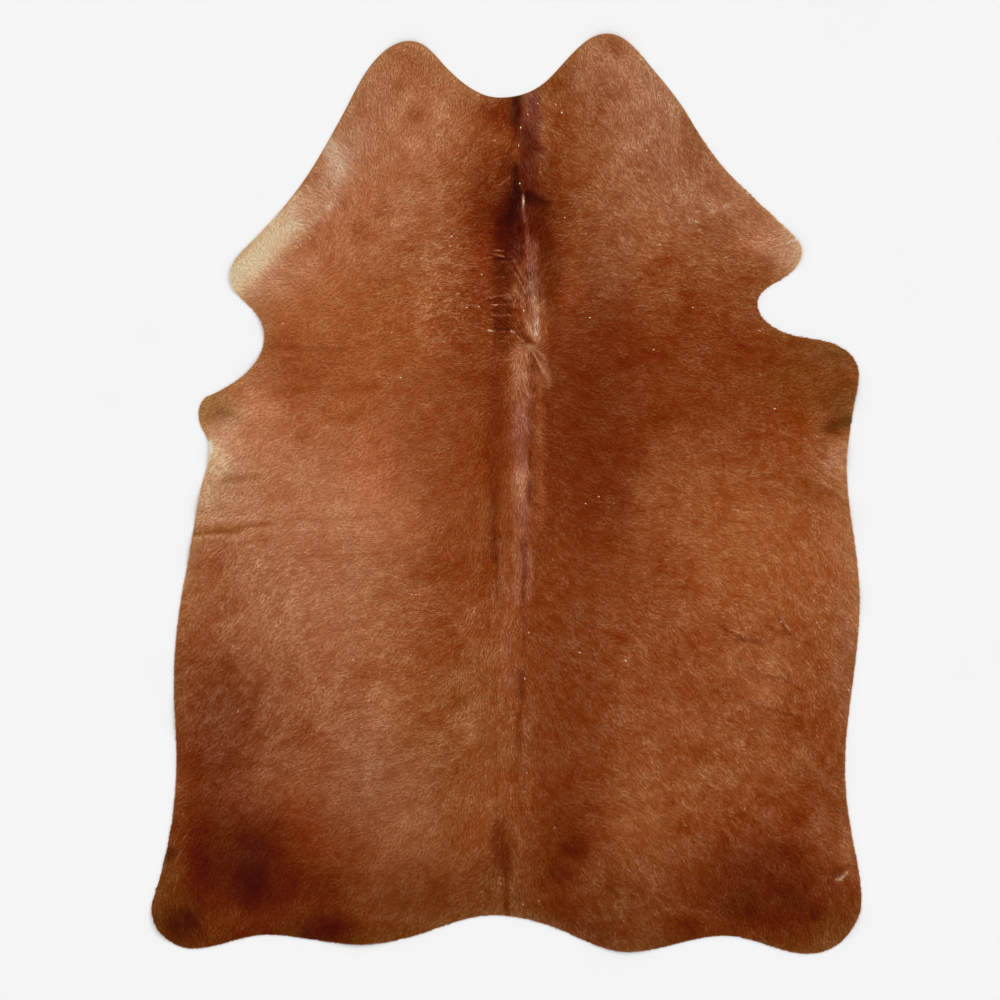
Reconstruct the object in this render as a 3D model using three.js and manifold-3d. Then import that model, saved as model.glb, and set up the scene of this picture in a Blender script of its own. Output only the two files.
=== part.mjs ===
// A cowhide rug: one tanned hide with its hair on, lying hair side up.
// Millimetres, +Z up, +Y towards the neck, +X to the right as seen from above.
// The origin lies on the floor under the middle of the hide's box.
import * as THREE from 'three';
import { mergeVertices } from 'three/addons/utils/BufferGeometryUtils.js';
import Module from 'manifold-3d';

// Thickness of the tanned skin, and of the short coat that lies flat on it
const LEATHER = 2;
const LYING_COAT = 3.5;

// Steps of the surface: wide over the body, narrow along the back line and across the flanks' folds
const BODY_STEP = 55;
const UNDERSIDE_STEP = 60;
const BACK_LINE = { from: -38, to: 102, step: 14 };
const FLANK_FOLDS = { from: -200, to: 430, step: 30 };

// Steps of the cut edge between two rows of the outline's table
const EDGE_STEPS = 6;

// Room above and below the surface for the block that the outline cuts
const SPARE = 40;

// Look of the coat
const COAT_COLOUR = 0x8a4524;
const COAT_ROUGHNESS = 0.62;

// The cut outline, anticlockwise: a row for each tip, hollow and straight run of the edge.
// The heading is the edge's direction there, in degrees from +X.
const OUTLINE = [
  { at: 'neck hollow', x: -15, y: 916, heading: 180 },
  { at: 'left neck, inner side', x: -131, y: 978, heading: 136 },
  { at: 'left neck tip', x: -223, y: 1047, heading: 180 },
  { at: 'left neck, outer side', x: -293, y: 1014, heading: 224 },
  { at: 'left neck side', x: -385, y: 865, heading: 241 },
  { at: 'left shoulder slope', x: -478, y: 711, heading: 234 },
  { at: 'left shoulder, front', x: -610, y: 561, heading: 224 },
  { at: 'left shoulder tip', x: -639, y: 499, heading: 272 },
  { at: 'left shoulder, back', x: -605, y: 443, heading: 320 },
  { at: 'left armpit', x: -560, y: 362, heading: 270 },
  { at: 'left leg, front', x: -617, y: 266, heading: 217 },
  { at: 'left leg, front corner', x: -686, y: 227, heading: 202 },
  { at: 'left leg tip', x: -712, y: 184, heading: 268 },
  { at: 'left leg, back', x: -697, y: 137, heading: 300 },
  { at: 'left flank start', x: -686, y: 96, heading: 268 },
  { at: 'left flank, upper', x: -707, y: 8, heading: 259 },
  { at: 'left flank, middle', x: -744, y: -200, heading: 259 },
  { at: 'left flank, widest', x: -769, y: -443, heading: 270 },
  { at: 'left hip', x: -763, y: -617, heading: 270 },
  { at: 'left rump', x: -781, y: -802, heading: 259 },
  { at: 'left hind corner, side', x: -807, y: -906, heading: 253 },
  { at: 'left hind corner, outer', x: -821, y: -962, heading: 270 },
  { at: 'left hind corner, lower', x: -795, y: -1024, heading: 317 },
  { at: 'left hind corner, bottom', x: -726, y: -1054, heading: 0 },
  { at: 'left hind hollow', x: -554, y: -1022, heading: 0 },
  { at: 'left hind lobe', x: -339, y: -1045, heading: 0 },
  { at: 'left of the tail', x: -154, y: -1005, heading: 20 },
  { at: 'tail hollow', x: -31, y: -977, heading: 0 },
  { at: 'right of the tail', x: 124, y: -1010, heading: -22 },
  { at: 'right hind lobe', x: 281, y: -1062, heading: 0 },
  { at: 'right hind hollow', x: 506, y: -1024, heading: 0 },
  { at: 'right hind corner, bottom', x: 698, y: -1066, heading: 0 },
  { at: 'right hind corner, lower', x: 784, y: -1029, heading: 49 },
  { at: 'right hind corner, outer', x: 822, y: -946, heading: 90 },
  { at: 'right rump', x: 804, y: -814, heading: 102 },
  { at: 'right hip', x: 784, y: -635, heading: 90 },
  { at: 'right flank, widest', x: 818, y: -247, heading: 90 },
  { at: 'right flank, upper', x: 788, y: 59, heading: 90 },
  { at: 'right leg, back', x: 804, y: 198, heading: 81 },
  { at: 'right leg, outer', x: 816, y: 277, heading: 92 },
  { at: 'right leg corner', x: 786, y: 330, heading: 143 },
  { at: 'right leg, front', x: 703, y: 358, heading: 171.5 },
  { at: 'right armpit, lower', x: 629, y: 378, heading: 153 },
  { at: 'right armpit', x: 581, y: 439, heading: 90 },
  { at: 'right shoulder, back', x: 617, y: 483, heading: 28 },
  { at: 'right shoulder tip', x: 684, y: 559, heading: 90 },
  { at: 'right shoulder, front', x: 656, y: 604, heading: 135 },
  { at: 'right shoulder slope', x: 529, y: 726, heading: 135 },
  { at: 'right neck side', x: 425, y: 868, heading: 120 },
  { at: 'right neck, outer side', x: 332, y: 991, heading: 130 },
  { at: 'right neck tip', x: 233, y: 1064, heading: 180 },
  { at: 'right neck, inner side', x: 147, y: 1012, heading: 226 },
  { at: 'neck, right of the spine', x: 78, y: 943, heading: 215 },
];

// Soft folds and curled tips: the hide lifts off the floor by its rise at the edge (x, y) and lies
// flat again at the inner end (toX, toY), and reach is half the fold's width.
const FOLDS = [
  { at: 'left neck tip', x: -235, y: 1045, toX: -200, toY: 865, rise: 6, reach: 80 },
  { at: 'right neck tip', x: 244, y: 1064, toX: 216, toY: 865, rise: 7, reach: 80 },
  { at: 'left shoulder tip', x: -640, y: 506, toX: -478, toY: 587, rise: 5, reach: 60 },
  { at: 'left armpit, front', x: -561, y: 383, toX: -374, toY: 374, rise: 4, reach: 50 },
  { at: 'left armpit, back', x: -575, y: 295, toX: -339, toY: 290, rise: 5, reach: 50 },
  { at: 'behind the left leg', x: -686, y: 89, toX: -501, toY: 73, rise: 6, reach: 52 },
  { at: 'left flank, above the crease', x: -710, y: -27, toX: -478, toY: -22, rise: 7, reach: 54 },
  { at: 'left flank, below the crease', x: -728, y: -135, toX: -501, toY: -119, rise: 5, reach: 52 },
  { at: 'left hip', x: -765, y: -524, toX: -594, toY: -478, rise: 5, reach: 70 },
  { at: 'left hind corner', x: -814, y: -1010, toX: -640, toY: -848, rise: 6, reach: 62 },
  { at: 'left hind lobe', x: -339, y: -1045, toX: -328, toY: -895, rise: 5, reach: 90 },
  { at: 'right hind lobe', x: 281, y: -1062, toX: 263, toY: -895, rise: 4, reach: 90 },
  { at: 'right hind corner', x: 814, y: -1010, toX: 679, toY: -895, rise: 6, reach: 62 },
  { at: 'right flank, lower', x: 816, y: -246, toX: 610, toY: -223, rise: 5, reach: 60 },
  { at: 'right flank, at the wrinkles', x: 795, y: -50, toX: 448, toY: -50, rise: 4, reach: 50 },
  { at: 'behind the right leg', x: 788, y: 82, toX: 633, toY: 59, rise: 6, reach: 52 },
  { at: 'right leg', x: 807, y: 228, toX: 633, toY: 216, rise: 5, reach: 56 },
  { at: 'right shoulder tip', x: 684, y: 564, toX: 529, toY: 598, rise: 6, reach: 60 },
];

// The back line, from neck to tail: a standing ridge of hair down to the whorl, then a soft band,
// then a shallow parting. Rise is its height over the coat, and reach is half its width.
const BACK = [
  { at: 'neck edge', y: 916, x: 31, rise: 1, reach: 34 },
  { at: 'withers', y: 690, x: 38, rise: 2, reach: 34 },
  { at: 'whorl', y: 335, x: 57, rise: 2.5, reach: 38 },
  { at: 'behind the whorl', y: 170, x: 38, rise: 1.5, reach: 36 },
  { at: 'middle of the back', y: -15, x: 34, rise: 1, reach: 30 },
  { at: 'loin', y: -360, x: 38, rise: -0.7, reach: 26 },
  { at: 'rump', y: -815, x: 4, rise: -0.7, reach: 26 },
  { at: 'tail', y: -977, x: -8, rise: -0.5, reach: 26 },
];

// Edge of the hide as one closed shape of cubic curves, each with handles that suit its turn
function outlineShape() {
  const shape = new THREE.Shape();
  shape.moveTo(OUTLINE[0].x, OUTLINE[0].y);
  OUTLINE.forEach((start, index) => {
    const end = OUTLINE[(index + 1) % OUTLINE.length];
    const from = THREE.MathUtils.degToRad(start.heading);
    const to = THREE.MathUtils.degToRad(end.heading);
    const turn = Math.atan2(Math.sin(to - from), Math.cos(to - from));
    const chord = Math.hypot(end.x - start.x, end.y - start.y);
    const handle = chord / (3 * Math.cos(turn / 4) ** 2);
    shape.bezierCurveTo(
      start.x + handle * Math.cos(from),
      start.y + handle * Math.sin(from),
      end.x - handle * Math.cos(to),
      end.y - handle * Math.sin(to),
      end.x,
      end.y,
    );
  });
  return shape;
}

// Height of the underside over the floor: nothing where the hide lies flat, and the folds elsewhere
function lift(x, y) {
  return FOLDS.reduce((height, fold) => {
    const alongX = fold.toX - fold.x;
    const alongY = fold.toY - fold.y;
    const length = Math.hypot(alongX, alongY);
    const inward = ((x - fold.x) * alongX + (y - fold.y) * alongY) / length ** 2;
    const across = ((x - fold.x) * alongY - (y - fold.y) * alongX) / length;
    const section = Math.max(0, 1 - (across / fold.reach) ** 2) ** 2;
    return height + fold.rise * section * (1 - THREE.MathUtils.smoothstep(inward, 0, 1));
  }, 0);
}

// Height of the back line's ridge or parting over the coat
function backLineRise(x, y) {
  const behind = BACK.findIndex((row) => row.y < y);
  const last = behind === -1 ? BACK.length - 1 : Math.max(behind, 1);
  const [front, back] = [BACK[last - 1], BACK[last]];
  const share = THREE.MathUtils.clamp((front.y - y) / (front.y - back.y), 0, 1);
  const value = (column) => THREE.MathUtils.lerp(front[column], back[column], share);
  return value('rise') * Math.max(0, 1 - ((x - value('x')) / value('reach')) ** 2) ** 2;
}

function topHeight(x, y) {
  return lift(x, y) + LEATHER + LYING_COAT + backLineRise(x, y);
}

// Evenly spaced lines from one place to another, about a step apart
function spaced(from, to, step) {
  const count = Math.round((to - from) / step);
  return Array.from({ length: count + 1 }, (_, index) => from + ((to - from) * index) / count);
}

// Lines across the whole hide, closer together in one stretch
function closerIn(stretch, from, to) {
  return [
    ...spaced(from, stretch.from, BODY_STEP),
    ...spaced(stretch.from, stretch.to, stretch.step).slice(1, -1),
    ...spaced(stretch.to, to, BODY_STEP),
  ];
}

// Closed block under one surface and over another, on a grid of columns and rows
function blockBetween(columns, rows, underside, top) {
  const positions = [];
  const faces = [];
  const quad = (a, b, c, d) => faces.push(a, b, c, a, c, d);
  for (const height of [underside, top]) {
    for (const y of rows) {
      for (const x of columns) {
        positions.push(x, y, height(x, y));
      }
    }
  }
  const layer = columns.length * rows.length;
  const low = (column, row) => row * columns.length + column;
  const high = (column, row) => layer + low(column, row);
  const lastColumn = columns.length - 1;
  const lastRow = rows.length - 1;
  for (let row = 0; row < lastRow; row += 1) {
    for (let column = 0; column < lastColumn; column += 1) {
      quad(high(column, row), high(column + 1, row), high(column + 1, row + 1), high(column, row + 1));
      quad(low(column, row), low(column, row + 1), low(column + 1, row + 1), low(column + 1, row));
    }
    quad(low(0, row), high(0, row), high(0, row + 1), low(0, row + 1));
    quad(low(lastColumn, row), low(lastColumn, row + 1), high(lastColumn, row + 1), high(lastColumn, row));
  }
  for (let column = 0; column < lastColumn; column += 1) {
    quad(low(column, 0), low(column + 1, 0), high(column + 1, 0), high(column, 0));
    quad(low(column, lastRow), high(column, lastRow), high(column + 1, lastRow), low(column + 1, lastRow));
  }
  const geometry = new THREE.BufferGeometry();
  geometry.setAttribute('position', new THREE.Float32BufferAttribute(positions, 3));
  geometry.setIndex(faces);
  return geometry;
}

// Solid of a closed geometry, with the shared vertices merged
function solidOf(wasm, geometry) {
  geometry.deleteAttribute('normal');
  geometry.deleteAttribute('uv');
  const merged = mergeVertices(geometry);
  const mesh = new wasm.Mesh({
    numProp: 3,
    vertProperties: new Float32Array(merged.attributes.position.array),
    triVerts: new Uint32Array(merged.index.array),
  });
  return new wasm.Manifold(mesh);
}

function geometryOf(solid) {
  const mesh = solid.getMesh();
  const geometry = new THREE.BufferGeometry();
  geometry.setAttribute('position', new THREE.BufferAttribute(mesh.vertProperties, 3));
  geometry.setIndex(new THREE.BufferAttribute(mesh.triVerts, 1));
  geometry.computeVertexNormals();
  return geometry;
}

// The hide: what lies under its top, over its underside and within its outline, with the middle of
// its box at the origin
function hideGeometry(wasm) {
  const shape = outlineShape();
  const box = new THREE.Box2().setFromPoints(shape.getPoints(EDGE_STEPS));
  const low = box.min.clone().subScalar(SPARE);
  const high = box.max.clone().addScalar(SPARE);
  const rows = closerIn(FLANK_FOLDS, low.y, high.y);
  const topColumns = closerIn(BACK_LINE, low.x, high.x);
  const undersideColumns = spaced(low.x, high.x, UNDERSIDE_STEP);
  const underTop = solidOf(wasm, blockBetween(topColumns, rows, () => -SPARE, topHeight));
  const overUnderside = solidOf(wasm, blockBetween(undersideColumns, rows, lift, () => SPARE));
  const prism = new THREE.ExtrudeGeometry(shape, {
    depth: 2 * SPARE,
    bevelEnabled: false,
    curveSegments: EDGE_STEPS,
  });
  prism.translate(0, 0, -SPARE);
  const hideSolid = solidOf(wasm, prism).intersect(underTop).intersect(overUnderside);
  const middle = box.getCenter(new THREE.Vector2());
  return geometryOf(hideSolid).translate(-middle.x, -middle.y, 0);
}

const wasm = await Module();
wasm.setup();

const hide = new THREE.Mesh(
  hideGeometry(wasm),
  new THREE.MeshStandardMaterial({ color: COAT_COLOUR, roughness: COAT_ROUGHNESS, metalness: 0 }),
);
hide.name = 'hide';

const rug = new THREE.Group();
rug.add(hide);

export default rug;
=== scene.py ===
"""A hair-on cowhide rug lying flat on a pale floor, seen from straight above.

One tanned hide is a thin closed sheet with a rounded cut edge and a suede underside. Its short coat is
laid on it as locks of hair, which follow the growth from the whorl on the back to the neck, legs and tail.
Tables of the hide's form are in millimetres in its own frame, +Y towards the neck and +X to the right as
seen from above. Places on the coat are in the photograph's pixels, px to the right and py down.
"""

import math

import bpy
import numpy as np
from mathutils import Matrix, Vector
from mathutils.geometry import delaunay_2d_cdt


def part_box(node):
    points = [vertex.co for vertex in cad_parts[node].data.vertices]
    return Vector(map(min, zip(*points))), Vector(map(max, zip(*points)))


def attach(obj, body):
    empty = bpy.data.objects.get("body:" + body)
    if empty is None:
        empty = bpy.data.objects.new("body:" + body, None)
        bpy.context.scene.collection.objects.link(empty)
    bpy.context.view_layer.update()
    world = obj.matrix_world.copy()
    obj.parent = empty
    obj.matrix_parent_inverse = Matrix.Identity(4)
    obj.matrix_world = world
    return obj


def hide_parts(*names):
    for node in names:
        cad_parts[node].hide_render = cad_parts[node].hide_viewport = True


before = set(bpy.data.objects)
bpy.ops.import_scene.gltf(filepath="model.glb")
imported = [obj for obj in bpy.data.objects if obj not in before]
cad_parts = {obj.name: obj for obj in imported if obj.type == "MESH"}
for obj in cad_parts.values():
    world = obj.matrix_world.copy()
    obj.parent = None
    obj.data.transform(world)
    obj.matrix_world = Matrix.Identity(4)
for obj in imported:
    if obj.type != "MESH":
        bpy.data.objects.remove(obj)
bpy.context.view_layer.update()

MM = 0.001

# The hide's form

LEATHER = 2.0
LYING_COAT = 3.5
THINNEST_COAT = 1.2

# The cut outline, anticlockwise. The heading is the edge's direction there, in degrees from +X.
OUTLINE = (
    # at, x, y, heading
    ("neck hollow", -15, 916, 180),
    ("left neck, inner side", -131, 978, 136),
    ("left neck tip", -223, 1047, 180),
    ("left neck, outer side", -293, 1014, 224),
    ("left neck side", -385, 865, 241),
    ("left shoulder slope", -478, 711, 234),
    ("left shoulder, front", -610, 561, 224),
    ("left shoulder tip", -639, 499, 272),
    ("left shoulder, back", -605, 443, 320),
    ("left armpit", -560, 362, 270),
    ("left leg, front", -617, 266, 217),
    ("left leg, front corner", -686, 227, 202),
    ("left leg tip", -712, 184, 268),
    ("left leg, back", -697, 137, 300),
    ("left flank start", -686, 96, 268),
    ("left flank, upper", -707, 8, 259),
    ("left flank, middle", -744, -200, 259),
    ("left flank, widest", -769, -443, 270),
    ("left hip", -763, -617, 270),
    ("left rump", -781, -802, 259),
    ("left hind corner, side", -807, -906, 253),
    ("left hind corner, outer", -821, -962, 270),
    ("left hind corner, lower", -795, -1024, 317),
    ("left hind corner, bottom", -726, -1054, 0),
    ("left hind hollow", -554, -1022, 0),
    ("left hind lobe", -339, -1045, 0),
    ("left of the tail", -154, -1005, 20),
    ("tail hollow", -31, -977, 0),
    ("right of the tail", 124, -1010, -22),
    ("right hind lobe", 281, -1062, 0),
    ("right hind hollow", 506, -1024, 0),
    ("right hind corner, bottom", 698, -1066, 0),
    ("right hind corner, lower", 784, -1029, 49),
    ("right hind corner, outer", 822, -946, 90),
    ("right rump", 804, -814, 102),
    ("right hip", 784, -635, 90),
    ("right flank, widest", 818, -247, 90),
    ("right flank, upper", 788, 59, 90),
    ("right leg, back", 804, 198, 81),
    ("right leg, outer", 816, 277, 92),
    ("right leg corner", 786, 330, 143),
    ("right leg, front", 703, 358, 171.5),
    ("right armpit, lower", 629, 378, 153),
    ("right armpit", 581, 439, 90),
    ("right shoulder, back", 617, 483, 28),
    ("right shoulder tip", 684, 559, 90),
    ("right shoulder, front", 656, 604, 135),
    ("right shoulder slope", 529, 726, 135),
    ("right neck side", 425, 868, 120),
    ("right neck, outer side", 332, 991, 130),
    ("right neck tip", 233, 1064, 180),
    ("right neck, inner side", 147, 1012, 226),
    ("neck, right of the spine", 78, 943, 215),
)

# Soft folds and curled tips: the hide lifts by its rise at (x, y) and lies flat again at (to_x, to_y)
FOLDS = (
    # at, x, y, to_x, to_y, rise, reach
    ("left neck tip", -235, 1045, -200, 865, 6, 80),
    ("right neck tip", 244, 1064, 216, 865, 7, 80),
    ("left shoulder tip", -640, 506, -478, 587, 5, 60),
    ("left armpit, front", -561, 383, -374, 374, 4, 50),
    ("left armpit, back", -575, 295, -339, 290, 5, 50),
    ("behind the left leg", -686, 89, -501, 73, 6, 52),
    ("left flank, above the crease", -710, -27, -478, -22, 7, 54),
    ("left flank, below the crease", -728, -135, -501, -119, 5, 52),
    ("left hip", -765, -524, -594, -478, 5, 70),
    ("left hind corner", -814, -1010, -640, -848, 6, 62),
    ("left hind lobe", -339, -1045, -328, -895, 5, 90),
    ("right hind lobe", 281, -1062, 263, -895, 4, 90),
    ("right hind corner", 814, -1010, 679, -895, 6, 62),
    ("right flank, lower", 816, -246, 610, -223, 5, 60),
    ("right flank, at the wrinkles", 795, -50, 448, -50, 4, 50),
    ("behind the right leg", 788, 82, 633, 59, 6, 52),
    ("right leg", 807, 228, 633, 216, 5, 56),
    ("right shoulder tip", 684, 564, 529, 598, 6, 60),
)

# Wrinkles of the lying hide: a height over zero lifts skin and coat, one below zero thins the coat alone
WRINKLES = (
    # at, x, y, to_x, to_y, height, reach
    ("left flank crease", -722, -92, -536, -73, -1.6, 9),
    ("left flank crease, ridge", -722, -106, -560, -96, 1.6, 11),
    ("left flank, second crease", -690, 32, -565, 30, -1.0, 16),
    ("left flank, second ridge", -690, 8, -560, 10, 1.0, 16),
    ("left armpit, front streak", -566, 338, -374, 332, -1.2, 10),
    ("left armpit, rear streak", -566, 252, -339, 250, -1.0, 11),
    ("behind the right leg", 726, 158, 792, 160, -1.2, 14),
    ("right wrinkle, upper", 434, -32, 604, -42, -0.8, 6),
    ("right wrinkle, upper ridge", 440, -46, 606, -56, 0.8, 8),
)

# Share of a wrinkle's length over which each of its ends fades
WRINKLE_FADE = 0.3

# The back line: its height over the coat, half its width, and which way the hair lies on its left side,
# on its middle and on its right side
BACK = (
    # at, y, x, rise, reach, left, middle, right
    ("neck edge", 916, 31, 1, 34, 228, 270, 318),
    ("withers", 700, 38, 2, 34, 212, 268, 335),
    ("where the two growths meet", 672, 40, 2, 34, 150, 92, 40),
    ("ridge", 520, 52, 2.3, 36, 132, 92, 50),
    ("whorl", 345, 57, 2.5, 38, 120, 90, 60),
    ("behind the whorl", 318, 57, 2.3, 38, 238, 272, 312),
    ("end of the ridge", 170, 38, 1.5, 36, 250, 270, 312),
    ("middle of the back", -15, 34, 1, 30, 252, 270, 310),
    ("loin", -360, 38, -0.7, 26, 250, 270, 305),
    ("rump", -815, 4, -0.7, 26, 250, 268, 290),
    ("tail", -977, -8, -0.5, 26, 255, 270, 285),
)

# How the back line turns the hair beside it: where its side headings lie, in half widths, up to what share
# of that it turns the hair fully and over what share it fades, and how far in front of its first row it ends
BACK_LINE_SPREAD = 1.3
BACK_LINE_HOLD = 0.7
BACK_LINE_FADE = 0.9
BACK_LINE_END = 60

# Places on the coat are read off the photograph. One of its pixels on the hide in millimetres, and the
# pixel over the frame's origin
PIXEL = 2.315
MIDDLE = (506.5, 493.5)

# The coat's growth: which way the hair lies, root to tip, in degrees from +X
GROWTH = (
    # at, px, py, heading
    ("left neck tip", 408, 52, 256),
    ("left neck, outer side", 350, 135, 288),
    ("left neck, middle", 380, 110, 282),
    ("left neck, inner side", 427, 120, 238),
    ("beside the neck line, left", 497, 130, 250),
    ("left of the neck line", 470, 140, 228),
    ("withers, left", 490, 175, 212),
    ("beside the ridge, left", 488, 220, 185),
    ("beside the ridge, left, lower", 488, 285, 180),
    ("beside the whorl, left", 488, 350, 182),
    ("left shoulder, upper", 370, 215, 220),
    ("left shoulder, inner", 428, 195, 198),
    ("left shoulder, inner, lower", 430, 255, 185),
    ("left shoulder blade", 410, 295, 200),
    ("left chest", 400, 375, 187),
    ("left chest, outer", 300, 375, 187),
    ("left armpit", 264, 345, 190),
    ("left leg lobe", 235, 402, 212),
    ("left leg, back", 238, 460, 228),
    ("left elbow fold", 300, 460, 205),
    ("left ribs, front", 410, 470, 194),
    ("left ribs, fore", 370, 428, 214),
    ("left of the back, front", 484, 545, 256),
    ("left of the back, loin", 483, 615, 250),
    ("left of the back, middle", 482, 695, 248),
    ("left of the back, croup", 483, 775, 252),
    ("left of the back, rear", 483, 850, 250),
    ("left loin, front", 447, 605, 186),
    ("left loin", 446, 745, 194),
    ("left rump, inner", 458, 875, 218),
    ("left ribs, middle", 400, 560, 186),
    ("left ribs, rear", 400, 690, 200),
    ("left rump, upper", 378, 780, 192),
    ("left rump", 395, 885, 226),
    ("left side, front", 325, 495, 196),
    ("left side, behind the crease", 318, 562, 200),
    ("left side, middle", 325, 630, 213),
    ("left side, rear", 322, 775, 200),
    ("left haunch", 322, 850, 205),
    ("left belly, front", 255, 600, 228),
    ("left belly, middle", 255, 700, 226),
    ("left belly, rear", 250, 810, 217),
    ("left thigh", 255, 890, 250),
    ("left flank edge, front", 205, 540, 222),
    ("left flank edge, middle", 205, 700, 232),
    ("left flank edge, rear", 200, 795, 226),
    ("left hind leg", 195, 865, 242),
    ("left hind corner", 175, 912, 268),
    ("left shoulder, body side", 343, 232, 230),
    ("left shoulder slope", 332, 203, 312),
    ("left shoulder arcs", 312, 205, 345),
    ("left neck side, pale mist", 334, 168, 308),
    ("left shoulder lobe, front", 268, 236, 105),
    ("left shoulder lobe, tip", 248, 264, 140),
    ("left shoulder lobe, back", 244, 287, 166),
    ("left shoulder lobe, root", 282, 305, 200),
    ("right neck tip", 620, 55, 303),
    ("right neck, inner side", 600, 92, 294),
    ("right neck, middle", 650, 130, 283),
    ("right neck, outer side", 682, 130, 273),
    ("right neck, side edge", 706, 160, 298),
    ("withers, right", 556, 175, 340),
    ("right of the neck line", 552, 128, 318),
    ("right neck, root", 620, 165, 306),
    ("right shoulder blade, front", 625, 215, 325),
    ("beside the ridge, right", 566, 220, 6),
    ("beside the ridge, right, lower", 566, 280, 7),
    ("beside the whorl, right", 566, 335, 4),
    ("right shoulder blade", 650, 305, 350),
    ("right shoulder", 700, 262, 345),
    ("right chest", 627, 400, 352),
    ("right of the back, behind the whorl", 556, 410, 312),
    ("right of the back, front", 554, 540, 315),
    ("right of the back, loin", 552, 612, 306),
    ("right of the back, middle", 554, 690, 304),
    ("right ribs, inner, front", 586, 430, 350),
    ("right ribs, inner, middle", 590, 640, 334),
    ("right ribs, inner, fore", 612, 552, 355),
    ("right loin, inner", 588, 820, 330),
    ("right rump, inner", 560, 885, 300),
    ("right ribs, front", 627, 550, 347),
    ("right ribs, rear", 627, 700, 320),
    ("right rump", 640, 855, 316),
    ("right side, front", 720, 510, 342),
    ("right side, middle", 725, 605, 332),
    ("right side, rear", 720, 710, 320),
    ("right flank, front", 805, 455, 327),
    ("right flank, middle", 812, 600, 307),
    ("right flank edge, front", 840, 570, 292),
    ("right flank edge, rear", 835, 700, 292),
    ("right thigh", 812, 805, 322),
    ("right haunch", 765, 905, 297),
    ("right haunch, inner", 700, 905, 301),
    ("right hind corner", 838, 905, 300),
    ("right leg lobe", 830, 415, 8),
    ("right leg, front", 735, 385, 352),
    ("right shoulder lobe, root", 745, 208, 333),
    ("right shoulder lobe, middle", 770, 220, 322),
    ("right shoulder lobe, tip", 790, 240, 38),
    ("right shoulder lobe, back", 788, 264, 28),
    ("right armpit", 745, 268, 350),
)

# Distance in pixels within which neighbouring directions blend
GROWTH_BLEND = 19.5

# Places that the hair grows away from on all sides, turned a little to one side
WHORLS = (
    # at, px, py, reach, turn
    ("back whorl", 531, 348, 11, 20),
    ("left elbow whorl", 299, 242, 30, -75),
)

# The coat's colours as the eye sees them, in sRGB
TONES = {
    "rust": (146, 80, 41),
    "rosy": (172, 107, 71),
    "tan": (180, 118, 84),
    "sand": (193, 146, 113),
    "cream": (217, 187, 153),
    "pale_arc": (198, 158, 134),
    "sienna": (156, 84, 44),
    "auburn": (136, 67, 32),
    "chestnut": (126, 55, 22),
    "dark_chestnut": (108, 40, 14),
    "mahogany": (90, 33, 10),
    "near_black": (40, 6, 2),
    "mauve": (92, 34, 22),
    "rose": (160, 94, 66),
    "whorl_pale": (186, 128, 96),
    "olive": (146, 98, 54),
    "umber": (120, 62, 20),
    "ochre": (138, 80, 42),
    "dusk": (112, 58, 28),
    "wine": (70, 17, 6),
    "plum": (120, 60, 45),
    "plum_rose": (132, 72, 56),
    "purple": (104, 46, 36),
    "white_hair": (238, 200, 166),
    "pale_hair": (214, 156, 126),
    "dusty": (158, 106, 82),
    "moss": (106, 56, 22),
    "umber_olive": (126, 80, 44),
    "sooty": (70, 26, 6),
    "mist": (196, 158, 132),
    "bare": (222, 200, 180),
    "grape": (84, 31, 24),
    "strand": (158, 94, 76),
    "dusty_rose": (150, 86, 66),
    "pink_hair": (222, 168, 150),
    "umber_green": (70, 38, 8),
}

FIRST_TONE = "rust"

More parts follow.
